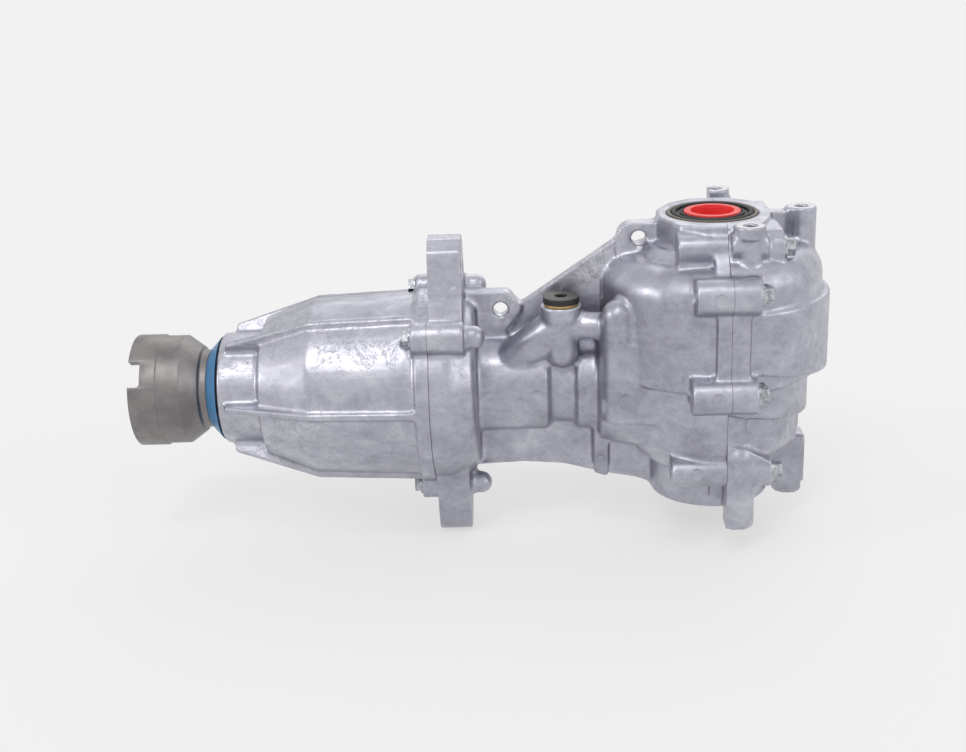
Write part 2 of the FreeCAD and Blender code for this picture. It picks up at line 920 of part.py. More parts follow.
def seam_flange():
    near = [
        (-lower_mouth_radius, -axis_height),
        (-60.0, -66.0, 8.0),
        (-70.0, -44.0, 8.0),
        (-76.0, -4.0, 8.0),
        (-seam_flange_y, 16.0, 6.0),
        (-seam_flange_y, 88.0, 10.0),
        (-66.0, drum_top_z + 4.0, 8.0),
        (-54.0, 128.0, 6.0),
        (-50.0, neck_top_z),
    ]
    far = [(-corner[0],) + corner[1:] for corner in reversed(near)]
    return slab_across_x(near + far, seam_x - seam_flange_front, seam_x + seam_flange_rear)


def seam_bosses():
    shapes = []
    for y, z, ahead, behind, radius in cover_bolt_places:
        for side in (-1, 1):
            shapes.append(rod_x(seam_x - ahead, seam_x + behind, radius, side * y, z))
    return shapes


def top_bosses():
    shapes = []
    for x, y in top_boss_places:
        shapes.append(rod_z(top_boss_z - top_boss_cap, top_boss_z, top_boss_radius, x, y))
        if abs(y) < 10.0:
            shapes.append(rod_z(60.0, top_boss_z, top_boss_radius, x, y))
            continue
        low = max(x - cross_barrel_half_length, seam_x + 0.3)
        shapes.append(rod_x(low, x + cross_barrel_half_length, cross_barrel_radius, y, cross_barrel_z))
        shapes.append(rod_z(80.0, top_boss_z - 4.0, stem_radius, x, y))
    return shapes


def bottom_bosses():
    shapes = []
    for x, y in bottom_boss_places[::2]:
        shapes.append(rod_z(bottom_boss_z, bottom_boss_top_z, bottom_boss_radius, x, y))
        shapes.append(Part.makeSphere(bottom_boss_radius, Vector(x, y, bottom_boss_top_z)))
    x, y = bottom_boss_places[1]
    reach = rear_boss_radius
    shapes.append(rod_z(bottom_boss_z, rear_boss_top_z - 3.0, reach, x, y))
    shapes.append(slab_across_x([
        (y - reach, rear_boss_bottom_z, 3.0),
        (y - reach, rear_boss_top_z, 6.0),
        (y + reach, rear_boss_top_z, 6.0),
        (y + reach, rear_boss_bottom_z, 3.0),
    ], x - 30.0, x + reach))
    return shapes


def cover_foot_gussets():
    # The wedge behind each lower bolt, which spreads its load into the cover.
    y, z, ahead, behind, radius = cover_bolt_places[3]
    corners = [
        (seam_x, z + foot_gusset_rise),
        (seam_x + seam_flange_rear, z + foot_gusset_rise - 2.0, 3.0),
        (seam_x + behind, z + foot_gusset_end, 3.0),
        (seam_x + behind, z - foot_gusset_end, 3.0),
        (seam_x, z - foot_gusset_end),
    ]
    near = -(y + 9.0)
    return [
        slab_across_y(corners, near, -foot_gusset_inner),
        slab_across_y(corners, foot_gusset_inner, -near),
    ]


def cover_wall_plate():
    # The upright plate between the neck and the right-hand threaded boss.
    x = top_boss_places[1][0]
    corners = [(30.0, 90.0), (30.0, neck_top_z, 2.0), (x, neck_top_z - 1.0), (x, 90.0)]
    return slab_across_y(corners, -6.0, 6.0)


def sloped(shape, height):
    # Cuts the shape's underside to a plane that falls towards the rear.
    fall = math.tan(math.radians(underside_slope))
    reach = 200.0
    corners = [
        (0, height),
        (reach, height - reach * fall),
        (reach, -reach),
        (0, -reach),
    ]
    return shape.cut(slab_across_y(corners, -reach, reach))


def cover_bulge():
    dome = turned_about_z([
        (0, bulge_bottom_z),
        (dome_radius, bulge_bottom_z),
        (dome_radius, dome_top_z, dome_shoulder),
        (0, dome_top_z),
    ], drum_stretch)
    bulge = turned_about_z([
        (0, bulge_bottom_z - 20.0),
        (bulge_radius, bulge_bottom_z - 20.0),
        (bulge_radius, bulge_top_z, 3.0),
        (0, bulge_top_z),
    ], bulge_shift)
    step = turned_about_z([
        (0, step_bottom_z - 20.0),
        (step_radius, step_bottom_z - 20.0),
        (step_radius, bulge_bottom_z + 10.0),
        (0, bulge_bottom_z + 10.0),
    ])
    foot = turned_about_z([
        (0, foot_bottom_z),
        (foot_radius, foot_bottom_z, 8.0),
        (foot_radius, bulge_bottom_z),
        (0, bulge_bottom_z),
    ])
    room = half_space(False)
    return [
        dome.common(room),
        sloped(bulge.common(room), bulge_slope_z),
        sloped(step.common(room), step_slope_z),
        foot.common(room),
    ]


def carrier_cavity():
    inner_shoulder = drum_shoulder - drum_wall
    room = drum_radius - drum_wall
    main = turned_about_z([
        (0, lower_body_bottom_z + drum_wall),
        (lower_body_room, lower_body_bottom_z + drum_wall, 6.0),
        (lower_body_room, drum_bottom_z + drum_wall),
        (room, drum_bottom_z + drum_wall, 3.0),
        (room, drum_top_z - 5.0 - drum_wall, inner_shoulder),
        (side_bearing_radius + 5.0, drum_top_z - drum_wall - 1.0),
        (0, drum_top_z - drum_wall - 1.0),
    ])
    extra = turned_about_z([
        (0, bulge_bottom_z + drum_wall),
        (bulge_radius - drum_wall, bulge_bottom_z + drum_wall),
        (bulge_radius - drum_wall, bulge_top_z - drum_wall),
        (0, bulge_top_z - drum_wall),
    ], bulge_shift)
    islands = bolt_islands()
    land = side_bearing_radius - 3.0
    upper_seat = side_bearing_outer_z + shim_thickness
    lower_seat = side_bearing_lower_z - shim_thickness
    return [
        hollowed(main, islands),
        hollowed(extra.common(half_space(False)), islands),
        rod_z(drum_top_z - 20.0, upper_seat, side_bearing_radius),
        rod_z(upper_seat - 1.0, neck_top_z, land),
        rod_z(neck_top_z - axle_seal_depth, neck_top_z + cut_margin, axle_seal_radius),
        rod_z(lower_seat, lower_body_bottom_z + 12.0, side_bearing_radius),
        rod_z(-axis_height, lower_seat + 1.0, land),
        rod_z(-axis_height - cut_margin, -axis_height + axle_seal_depth, axle_seal_radius),
    ]


def pinion_cavity():
    tail_end = tail_bearing_x + tail_bearing_width
    seal_end = tail_bearing_x - 1.0
    floor_x = bell_mouth_x + front_drum_length - front_drum_wall
    room = front_drum_radius - front_drum_wall
    spigot = coil_bore - seat_gap
    return [
        turned_about_x([
            (bell_mouth_x - cut_margin, 0),
            (bell_mouth_x - cut_margin, room),
            (bell_mouth_x + front_drum_straight - 4.0, room, 14.0),
            (floor_x, front_drum_end_radius - front_drum_wall, 4.0),
            (floor_x, spigot),
            (bell_mouth_x - 1.0, spigot),
            (bell_mouth_x - 1.0, pinion_seal_radius + 1.0),
            (floor_x - 3.0, pinion_seal_radius + 1.0),
            (floor_x - 3.0, pinion_seal_radius),
            (seal_end, pinion_seal_radius),
            (seal_end, tail_bearing_radius),
            (tail_end, tail_bearing_radius),
            (tail_end, tube_bore - 3.0),
            (tail_end + 6.0, tube_bore - 3.0),
            (tail_end + 6.0, tube_bore),
            (head_bearing_x - 6.0, tube_bore),
            (head_bearing_x - 6.0, head_bearing_radius - 4.0),
            (head_bearing_x, head_bearing_radius - 4.0),
            (head_bearing_x, head_bearing_radius),
            (pinion_house_end_x, head_bearing_radius),
            (pinion_house_end_x, 0),
        ]),
    ]


def threaded_holes():
    holes = []
    for x, y in top_boss_places:
        holes.append(rod_z(top_boss_z - boss_thread_depth, top_boss_z + cut_margin, boss_thread_radius, x, y))
    for x, y in bottom_boss_places:
        holes.append(rod_z(bottom_boss_z - cut_margin, bottom_boss_z + boss_thread_depth,
                           boss_thread_radius, x, y))
    return holes


def cover_bolt_holes():
    holes = []
    for y, z, ahead, behind, radius in cover_bolt_places:
        for side in (-1, 1):
            holes.append(rod_x(seam_x - ahead - cut_margin, seam_x + behind + cut_margin,
                               cover_bolt_radius, side * y, z))
    return holes


def bolt_islands():
    # Metal kept inside the cavity round the bolt heads that sink into the cover's wall.
    radius = cover_bolt_flange_radius + spot_face_room + island_wall
    islands = []
    for y, z, ahead, behind, boss in cover_bolt_places:
        for side in (-1, 1):
            end = seam_x + behind + spot_face_reach + island_wall
            islands.append(rod_x(seam_x, end, radius, side * y, z))
    return islands


def cover_spot_faces():
    # Room round the bolt heads where they sit close to the cover's wall.
    radius = cover_bolt_flange_radius + spot_face_room
    faces = []
    for y, z, ahead, behind, boss in cover_bolt_places:
        for side in (-1, 1):
            start = seam_x + behind
            faces.append(rod_x(start, start + spot_face_reach, radius, side * y, z))
    return faces


def dowels():
    spread = cover_bolt_places[2]
    half = dowel_length / 2
    y = drum_radius - drum_wall / 2 + 2.0
    z = (cover_bolt_places[1][1] + spread[1]) / 2
    return [rod_x(seam_x - half, seam_x + half, dowel_radius, side * y, z) for side in (-1, 1)]


def bracket_holes():
    reach = bracket_thickness / 2 + cut_margin
    shapes = []
    for x, z in (front_bracket_hole, rear_bracket_hole):
        shapes.append(rod((x, -reach, z), (x, reach, z), bracket_hole_radius))
    return shapes


def shared_outside(front):
    # What both halves have in common, on one side of the seam.
    room = half_space(front)
    shapes = [drum(), lower_body(), neck(), seam_flange()] + seam_bosses()
    return joined([shape.common(room) for shape in shapes])


def main_casing():
    shapes = [shared_outside(True), pinion_barrel(), ear(1), ear(-1)] + webs() + filler()
    shapes += neck_pads(True)
    shapes += bell_bosses(bell_mouth_x, bell_mouth_x + bell_boss_reach)
    shapes += bell_boss_tails() + [house_block()]
    hollows = carrier_cavity() + pinion_cavity() + cover_bolt_holes()
    hollows += dowels() + bracket_holes()
    hollows += bell_holes(bell_mouth_x - cut_margin, bell_mouth_x + bell_bolt_depth, bell_bolt_radius)
    hollows += ear_holes()
    hollows.append(rod_z(filler_boss_top - filler_plug_depth, filler_boss_top + cut_margin,
                         filler_thread_radius, filler_x, filler_y))
    return hollowed(joined(shapes), hollows).common(half_space(True))


def rear_cover():
    shapes = [shared_outside(False)] + cover_bulge() + [cover_wall_plate()] + neck_pads(False)
    shapes += top_bosses() + bottom_bosses() + cover_foot_gussets()
    hollows = carrier_cavity() + threaded_holes() + cover_bolt_holes() + dowels()
    hollows += cover_spot_faces()
    return hollowed(joined(shapes), hollows).common(half_space(False))


def cover_bolts():
    bolts = []
    for y, z, ahead, behind, radius in cover_bolt_places:
        for side in (-1, 1):
            bolts.append(bolt_along_x(seam_x + behind, 1, ahead + behind, cover_bolt_head_height,
                                      cover_bolt_head_radius, cover_bolt_flange_radius,
                                      cover_bolt_flange_height, cover_bolt_radius, side * y, z))
    return group(bolts)


def filler_parts():
    head_low = filler_boss_top + filler_washer_thickness
    washer = rod_z(filler_boss_top, head_low, filler_washer_radius, filler_x, filler_y)
    stem = rod_z(filler_boss_top - filler_plug_depth + 1.0, head_low, filler_thread_radius,
                 filler_x, filler_y)
    head = rod_z(head_low, head_low + filler_head_height, filler_head_radius, filler_x, filler_y)
    head = head.makeFillet(1.0, [head.Edges[0]])
    socket = rod_z(head_low + 1.5, head_low + filler_head_height + cut_margin,
                   filler_socket_radius, filler_x, filler_y)
    plug = head.fuse(stem).cut(socket)
    return plug, washer.cut(stem)


def axle_seal(mouth, inward):
    # The metal case and the rubber lip of one seal, its open face at mouth.
    inner = mouth + inward * axle_seal_depth
    low, high = min(mouth, inner), max(mouth, inner)
    case = tube_z(low, high, axle_seal_radius, axle_seal_case_bore)
    face = mouth + inward * 1.2
    floor = inner - inward * 1.5
    rubber = turned_about_z([
        (axle_seal_case_bore, face),
        (axle_seal_case_bore, floor),
        (axle_lip_radius + 4.0, floor),
        (axle_lip_radius + running_gap, floor - inward * 3.0),
        (axle_lip_radius + running_gap, mouth),
        (axle_lip_radius + 3.0, mouth),
        (axle_lip_radius + 4.0, face),
    ])
    return case, rubber


def axle_plug():
    top = neck_top_z + plug_flange_height
    low = neck_top_z - plug_body_length
    body = axle_lip_radius - running_gap
    return turned_about_z([
        (0, low),
        (body, low, 1.0),
        (body, neck_top_z),
        (plug_flange_radius, neck_top_z),
        (plug_flange_radius, top, 0.8),
        (body - plug_wall, top),
        (body - plug_wall - 0.5, low + plug_floor),
        (0, low + plug_floor),
    ])


# Input flange and its neighbours

def input_flange():
    outside = turned_about_x([
        (flange_rim_x, 0),
        (flange_rim_x, flange_rim_radius, 1.0),
        (flange_band_x - 1.0, flange_rim_radius),
        (flange_band_x, flange_band_radius),
        (flange_taper_x, flange_band_radius, 2.0),
        (flange_back_x, flange_back_radius, 1.0),
        (flange_back_x + 1.5, flange_neck_radius, 1.0),
        (flange_hub_x, flange_neck_radius, 1.0),
        (flange_hub_x, flange_hub_radius),
        (input_bearing_x, flange_hub_radius),
        (input_bearing_x, 0),
    ])
    half = notch_width / 2
    notch = around_x(slab_across_y([
        (flange_rim_x - cut_margin, -half),
        (flange_rim_x + notch_depth, -half, notch_corner),
        (flange_rim_x + notch_depth, half, notch_corner),
        (flange_rim_x - cut_margin, half),
    ], -flange_rim_radius - cut_margin, flange_rim_radius + cut_margin), -notch_angle)
    pilot = rod_x(flange_rim_x - cut_margin, flange_rim_x + pilot_depth, pilot_radius)
    cup = rod_x(flange_rim_x - cut_margin, cup_floor_x, cup_room_radius)
    bore = rod_x(cup_floor_x - cut_margin, input_bearing_x + cut_margin, input_spline_radius)
    return hollowed(outside, [notch, pilot, cup, bore])


def dust_shield():
    return turned_about_x([
        (flange_hub_x, flange_hub_radius),
        (flange_hub_x, flange_neck_radius + 0.5, 0.5),
        (shield_rear_x, shield_rear_radius),
        (shield_rear_x, shield_rear_radius - 2 * shield_thickness),
        (flange_hub_x + 2 * shield_thickness, flange_neck_radius - 1.0),
        (flange_hub_x + 2 * shield_thickness, flange_hub_radius),
    ])


def input_oil_seal():
    start = bell_nose_x + 1.0
    end = start + input_seal_length
    lip = flange_hub_radius + running_gap
    return turned_about_x([
        (start, lip + 2.0),
        (start, input_seal_radius),
        (end, input_seal_radius),
        (end, lip + 5.0),
        (end - 4.0, lip),
        (start + 2.5, lip),
    ])


def input_nut():
    top = cup_floor_x - input_nut_height
    washer = rod_x(cup_floor_x - 2.0, cup_floor_x, input_nut_width / 2 + 2.0)
    nut = joined([hexagon_x(top, cup_floor_x - 2.0, input_nut_width), washer])
    return nut.cut(rod_x(top - cut_margin, cup_floor_x + cut_margin, input_thread_radius))


# The coupling. Its stack is laid out from the front wall of the drum.

plates_front_x = coupling_front_x + coupling_front_wall + 1.0
cam_front_x = plates_front_x + clutch_plate_count * clutch_plate_pitch
control_cam_x = cam_front_x + main_cam_thickness + 2 * (cam_ball_radius - cam_pocket_depth)
armature_x = control_cam_x + control_cam_thickness + 2 * face_gap
pilot_x = armature_x + armature_thickness + face_gap
rotor_x = pilot_x + 3 * (pilot_plate_thickness + face_gap)
rotor_end_x = rotor_x + rotor_length
drum_bore = coupling_radius - coupling_wall


def spline_keys(low, high, root, tip, width):
    keys = []
    for step in range(spline_count):
        key = Part.makeBox(high - low, tip - root, width, Vector(low, root, -width / 2))
        keys.append(around_x(key, 360.0 * step / spline_count))
    return keys


def coupling_drum():
    shell = turned_about_x([
        (coupling_front_x, 0),
        (coupling_front_x, coupling_radius, 5.0),
        (rotor_end_x, coupling_radius, 1.0),
        (rotor_end_x, drum_bore),
        (plates_front_x - 1.0, drum_bore),
        (plates_front_x - 1.0, 0),
    ])
    shaft = turned_about_x([
        (cup_floor_x - input_nut_height - 3.0, 0),
        (cup_floor_x - input_nut_height - 3.0, input_thread_radius, 1.0),
        (cup_floor_x, input_thread_radius),
        (cup_floor_x, input_spline_radius),
        (input_bearing_x, input_spline_radius),
        (input_bearing_x, input_shaft_radius),
        (input_bearing_x + input_bearing_width, input_shaft_radius),
        (input_bearing_x + input_bearing_width, input_shaft_radius + 5.0),
        (coupling_front_x - 6.0, input_shaft_radius + 5.0, 4.0),
        (coupling_front_x, input_shaft_radius + 12.0),
        (coupling_front_x, 0),
    ])
    grooves = spline_keys(plates_front_x - 1.0, pilot_x + 3 * pilot_plate_thickness,
                          drum_bore - 1.0, drum_bore + spline_height, spline_width)
    return hollowed(joined([shell, shaft]), grooves)


def clutch_plates():
    outer, inner = [], []
    tab_tip = drum_bore + spline_height - 0.2
    for step in range(clutch_plate_count):
        low = plates_front_x + step * clutch_plate_pitch
        high = low + clutch_plate_thickness
        disc = joined([rod_x(low, high, drum_bore - 0.2)]
                      + spline_keys(low, high, drum_bore - 2.0, tab_tip, spline_width - 0.4))
        outer.append(disc.cut(rod_x(low - 1.0, high + 1.0, outer_plate_bore)))
        start = low + clutch_plate_pitch / 2
        inner.append(tube_x(start, start + clutch_plate_thickness, inner_plate_radius,
                            clutch_hub_radius))
    return group(outer), group(inner)


def clutch_hub():
    return tube_x(plates_front_x + clutch_hub_inset, control_cam_x + control_cam_thickness,
                  clutch_hub_radius, pinion_spline_radius)


def cams():
    main_end = cam_front_x + main_cam_thickness
    ball_x = (main_end + control_cam_x) / 2
    ball_place = Vector(ball_x, 0, cam_ball_circle)
    pocket = Part.makeSphere(cam_ball_radius + seat_gap, ball_place)
    ball = Part.makeSphere(cam_ball_radius, ball_place)
    turns = [360.0 * step / cam_ball_count for step in range(cam_ball_count)]
    pockets = [around_x(pocket, turn) for turn in turns]
    main = hollowed(tube_x(cam_front_x, main_end, cam_radius, clutch_hub_radius), pockets)
    control = hollowed(tube_x(control_cam_x, control_cam_x + control_cam_thickness, cam_radius,
                              clutch_hub_radius), pockets)
    return main, control, group([around_x(ball, turn) for turn in turns])


def armature():
    return tube_x(armature_x, armature_x + armature_thickness, drum_bore - 0.2, armature_bore)


def pilot_plates():
    plates = []
    for step in range(3):
        low = pilot_x + step * (pilot_plate_thickness + face_gap)
        plates.append(tube_x(low, low + pilot_plate_thickness, drum_bore - 0.2, armature_bore + 3.0))
    return group(plates)


def coupling_rotor():
    web_end = rotor_x + rotor_web
    return turned_about_x([
        (rotor_x, rotor_bore),
        (rotor_x, drum_bore),
        (rotor_end_x, drum_bore),
        (rotor_end_x, rotor_rim_bore),
        (web_end, rotor_rim_bore),
        (web_end, rotor_hub_radius),
        (rotor_end_x, rotor_hub_radius),
        (rotor_end_x, rotor_bore),
    ])


def rotor_bush():
    return tube_x(rotor_x, rotor_end_x, rotor_bore, pinion_spline_radius + running_gap)


def solenoid_coil():
    start = rotor_x + rotor_web + 1.0
    coil = turned_about_x([
        (start, coil_bore),
        (start, coil_radius, 1.0),
        (start + coil_length, coil_radius, 1.0),
        (start + coil_length, coil_bore),
    ])
    floor_x = bell_mouth_x + front_drum_length - front_drum_wall
    sleeve = tube_x(start, floor_x, coil_sleeve_radius, coil_bore)
    return coil.fuse(sleeve)


# Pinion

def drive_pinion():
    tip_out, tip_in, root_in, root_out = bevel_blank_corners(pinion_teeth, ring_teeth, gear_module,
                                                             gear_face)
    back_z = -(head_bearing_x + head_bearing_width)
    body = [
        (root_out[0], back_z - 1.0),
        (pinion_head_radius, back_z),
        (0, back_z),
        (0, tip_in[1] - 1.0),
        (tip_in[0] - 8.0, tip_in[1] - 1.0),
    ]
    gear = bevel_gear(pinion_teeth, ring_teeth, gear_module, gear_face, gear_pressure_angle,
                      gear_backlash, body, 0.5)
    gear = gear.rotated(Vector(0, 0, 0), Vector(0, 1, 0), -90)
    head_end = head_bearing_x - 2.0
    tail_front = tail_bearing_x + tail_bearing_width
    nut_seat = tail_bearing_x - seal_sleeve_length
    nut_front = nut_seat - pinion_nut_height - 2.0
    shaft = turned_about_x([
        (plates_front_x + clutch_hub_inset + 1.0, 0),
        (plates_front_x + clutch_hub_inset + 1.0, pinion_spline_radius, 1.0),
        (nut_front, pinion_spline_radius),
        (nut_front, pinion_thread_radius),
        (nut_seat, pinion_thread_radius),
        (nut_seat, pinion_tail_radius),
        (tail_front, pinion_tail_radius),
        (tail_front, pinion_shaft_radius),
        (head_end, pinion_shaft_radius),
        (head_end, pinion_head_radius),
        (-back_z, pinion_head_radius),
        (-back_z, 0),
    ])
    return joined([gear, shaft])


def pinion_hardware():
    tail_front = tail_bearing_x + tail_bearing_width
    sleeve_front = tail_bearing_x - seal_sleeve_length
    spacer = tube_x(tail_front, head_bearing_x - 2.0, spacer_radius, pinion_shaft_radius)
    collar = tube_x(head_bearing_x - 2.0, head_bearing_x, spacer_radius + 2.0, pinion_head_radius)
    sleeve = tube_x(sleeve_front, tail_bearing_x, seal_sleeve_radius, pinion_tail_radius)
    nut = hexagon_x(sleeve_front - pinion_nut_height, sleeve_front, pinion_nut_width)
    nut = nut.cut(rod_x(sleeve_front - 2 * pinion_nut_height, sleeve_front + cut_margin,
                        pinion_thread_radius))
    return spacer.fuse(collar), sleeve, nut


def pinion_oil_seal():
    end = tail_bearing_x - 1.0
    start = end - pinion_seal_length
    lip = seal_sleeve_radius + running_gap
    return turned_about_x([
        (start, lip + 3.0),
        (start, pinion_seal_radius),
        (end, pinion_seal_radius),
        (end, lip + 5.0),
        (end - 2.5, lip),
        (start + 2.0, lip),
    ])


# Ring gear and differential

def ring_gear():
    tip_out, tip_in, root_in, root_out = bevel_blank_corners(ring_teeth, pinion_teeth, gear_module,
                                                             gear_face)
    body = [
        (ring_outer_radius, tip_out[1] + 0.3),
        (ring_outer_radius, ring_back_z),
        (ring_bore, ring_back_z),
        (ring_bore, root_in[1]),
    ]
    gear = bevel_gear(ring_teeth, pinion_teeth, gear_module, gear_face, gear_pressure_angle,
                      gear_backlash, body, 0.5)
    return gear.cut(group(ring_bolt_shanks()))


def ring_bolt_shanks():
    low = ring_back_z - ring_bolt_depth
    high = ring_back_z + case_flange_thickness
    shank = rod_z(low, high, ring_bolt_radius, ring_bolt_circle)
    return [around_z(shank, 360.0 * step / ring_bolt_count) for step in range(ring_bolt_count)]


def ring_gear_bolts():
    high = ring_back_z + case_flange_thickness
    head = hexagon_x(0, ring_bolt_head_height, ring_bolt_head_width)
    head = head.rotated(Vector(0, 0, 0), Vector(0, 1, 0), -90)
    head.translate(Vector(ring_bolt_circle, 0, high))
    heads = [around_z(head, 360.0 * step / ring_bolt_count) for step in range(ring_bolt_count)]
    return group([head.fuse(shank) for head, shank in zip(heads, ring_bolt_shanks())])


def case_gap():
    # Half the height between the two thrust faces inside the case.
    side_cone = math.atan2(side_teeth, spider_teeth)
    return side_module * side_teeth / 2 / math.tan(side_cone) + 8.5 + thrust_washer_thickness


def differential_case():
    flange_top = ring_back_z + case_flange_thickness
    floor_z = case_centre_z - case_gap()
    upper_journal = side_bearing_outer_z - side_bearing_width
    lower_journal = side_bearing_lower_z + side_bearing_width
    outside = turned_about_z([
        (0, side_bearing_lower_z - 2.0),
        (trunnion_radius, side_bearing_lower_z - 2.0, 1.0),
        (trunnion_radius, lower_journal),
        (trunnion_radius + 5.0, lower_journal),
        (trunnion_radius + 5.0, floor_z - 22.0, 5.0),
        (case_body_radius, floor_z - 8.0, 6.0),
        (case_body_radius, ring_back_z - 22.0),
        (ring_bore, ring_back_z - 20.0),
        (ring_bore, ring_back_z),
        (case_flange_radius, ring_back_z),
        (case_flange_radius, flange_top, 2.0),
        (case_upper_radius, flange_top, 4.0),
        (trunnion_radius + 8.0, case_upper_z, 6.0),
        (trunnion_radius + 5.0, upper_journal),
        (trunnion_radius, upper_journal),
        (trunnion_radius, side_bearing_outer_z + 2.0, 1.0),
        (0, side_bearing_outer_z + 2.0),
    ])
    centre = Vector(0, 0, case_centre_z)
    band = rod_z(case_centre_z - case_gap(), case_centre_z + case_gap(), case_cavity_radius + 1.0)
    room = Part.makeSphere(case_cavity_radius, centre).common(band)
    hub_reach = case_gap() + 11.0
    hub = rod_z(case_centre_z - hub_reach, case_centre_z + hub_reach, side_hub_radius + running_gap)
    bore = rod_z(side_bearing_lower_z - cut_margin - 2.0, side_bearing_outer_z + cut_margin + 2.0,
                 trunnion_bore)
    window = Part.makeBox(case_window_width, 4 * case_body_radius, case_window_height,
                          Vector(-case_window_width / 2, -2 * case_body_radius,
                                 case_centre_z - case_window_height / 2))
    hollows = [room, hub, bore, window, cross_pin_rod(), lock_pin()] + ring_bolt_shanks()
    return hollowed(outside, hollows)


def cross_pin_rod():
    return rod_x(-case_body_radius, case_body_radius, cross_pin_radius, 0.0, case_centre_z)


def lock_pin():
    x = (case_cavity_radius + case_body_radius) / 2
    reach = cross_pin_radius + 5.0
    return rod_z(case_centre_z - reach, case_centre_z + reach, lock_pin_radius, x)


def side_gear(direction):
    tip_out, tip_in, root_in, root_out = bevel_blank_corners(side_teeth, spider_teeth, side_module,
                                                             side_face, side_tip_share)
    back = case_gap() - thrust_washer_thickness - 0.1
    hub_end = case_gap() + 10.0
    body = [
        (tip_out[0] + 0.3, tip_out[1] + 1.0),
        (side_hub_radius + 4.0, back),
        (side_hub_radius, back),
        (side_hub_radius, hub_end),
        (side_bore, hub_end),
        (side_bore, tip_in[1] - 0.5),
        (tip_in[0] - 2.0, tip_in[1] - 0.5),
    ]
    gear = bevel_gear(side_teeth, spider_teeth, side_module, side_face, side_pressure_angle,
                      side_backlash, body, 0.0, side_tip_share)
    if direction < 0:
        gear.rotate(Vector(0, 0, 0), Vector(1, 0, 0), 180)
    gear.translate(Vector(0, 0, case_centre_z))
    return gear


def spider_gear(direction):
    tip_out, tip_in, root_in, root_out = bevel_blank_corners(spider_teeth, side_teeth, side_module,
                                                             side_face, side_tip_share)
    back = case_cavity_radius - 3.2
    bore = cross_pin_radius + running_gap
    body = [
        (tip_out[0] + 0.2, tip_out[1] + 0.5),
        (bore + 4.5, back),
        (bore, back),
        (bore, tip_in[1] - 0.3),
    ]
    gear = bevel_gear(spider_teeth, side_teeth, side_module, side_face, side_pressure_angle,
                      side_backlash, body, 0.5, side_tip_share)
    gear.rotate(Vector(0, 0, 0), Vector(0, 1, 0), 90 * direction)
    gear.translate(Vector(0, 0, case_centre_z))
    return gear


def thrust_washers():
    washers = []
    for direction in (-1, 1):
        outer_face = case_centre_z + direction * case_gap()
        inner_face = outer_face - direction * thrust_washer_thickness
        washers.append(tube_z(min(outer_face, inner_face), max(outer_face, inner_face),
                              side_hub_radius + 3.0, side_hub_radius + 0.1))
    return group(washers)


def side_bearing_shims():
    land = side_bearing_radius - 5.0
    upper = tube_z(side_bearing_outer_z, side_bearing_outer_z + shim_thickness,
                   side_bearing_radius, land)
    lower = tube_z(side_bearing_lower_z - shim_thickness, side_bearing_lower_z,
                   side_bearing_radius, land)
    return group([upper, lower])


def bearing_sets():
    places = {
        "head_bearing": (pinion_head_radius, head_bearing_radius, head_bearing_width,
                         Vector(1, 0, 0), Vector(head_bearing_x, 0, 0)),
        "tail_bearing": (pinion_tail_radius, tail_bearing_radius, tail_bearing_width,
                         Vector(-1, 0, 0), Vector(tail_bearing_x + tail_bearing_width, 0, 0)),
        "upper_bearing": (trunnion_radius, side_bearing_radius, side_bearing_width,
                          Vector(0, 0, -1), Vector(0, 0, side_bearing_outer_z)),
        "lower_bearing": (trunnion_radius, side_bearing_radius, side_bearing_width,
                          Vector(0, 0, 1), Vector(0, 0, side_bearing_lower_z)),
    }
    nodes = {}
    for name, (bore, outer, width, direction, place) in places.items():
        cone, rollers, cup = taper_bearing(bore, outer, width, taper_roller_count)
        nodes[name + "_cone"] = facing(cone, direction, place)
        nodes[name + "_rollers"] = facing(rollers, direction, place)
        nodes[name + "_cup"] = facing(cup, direction, place)
    return nodes


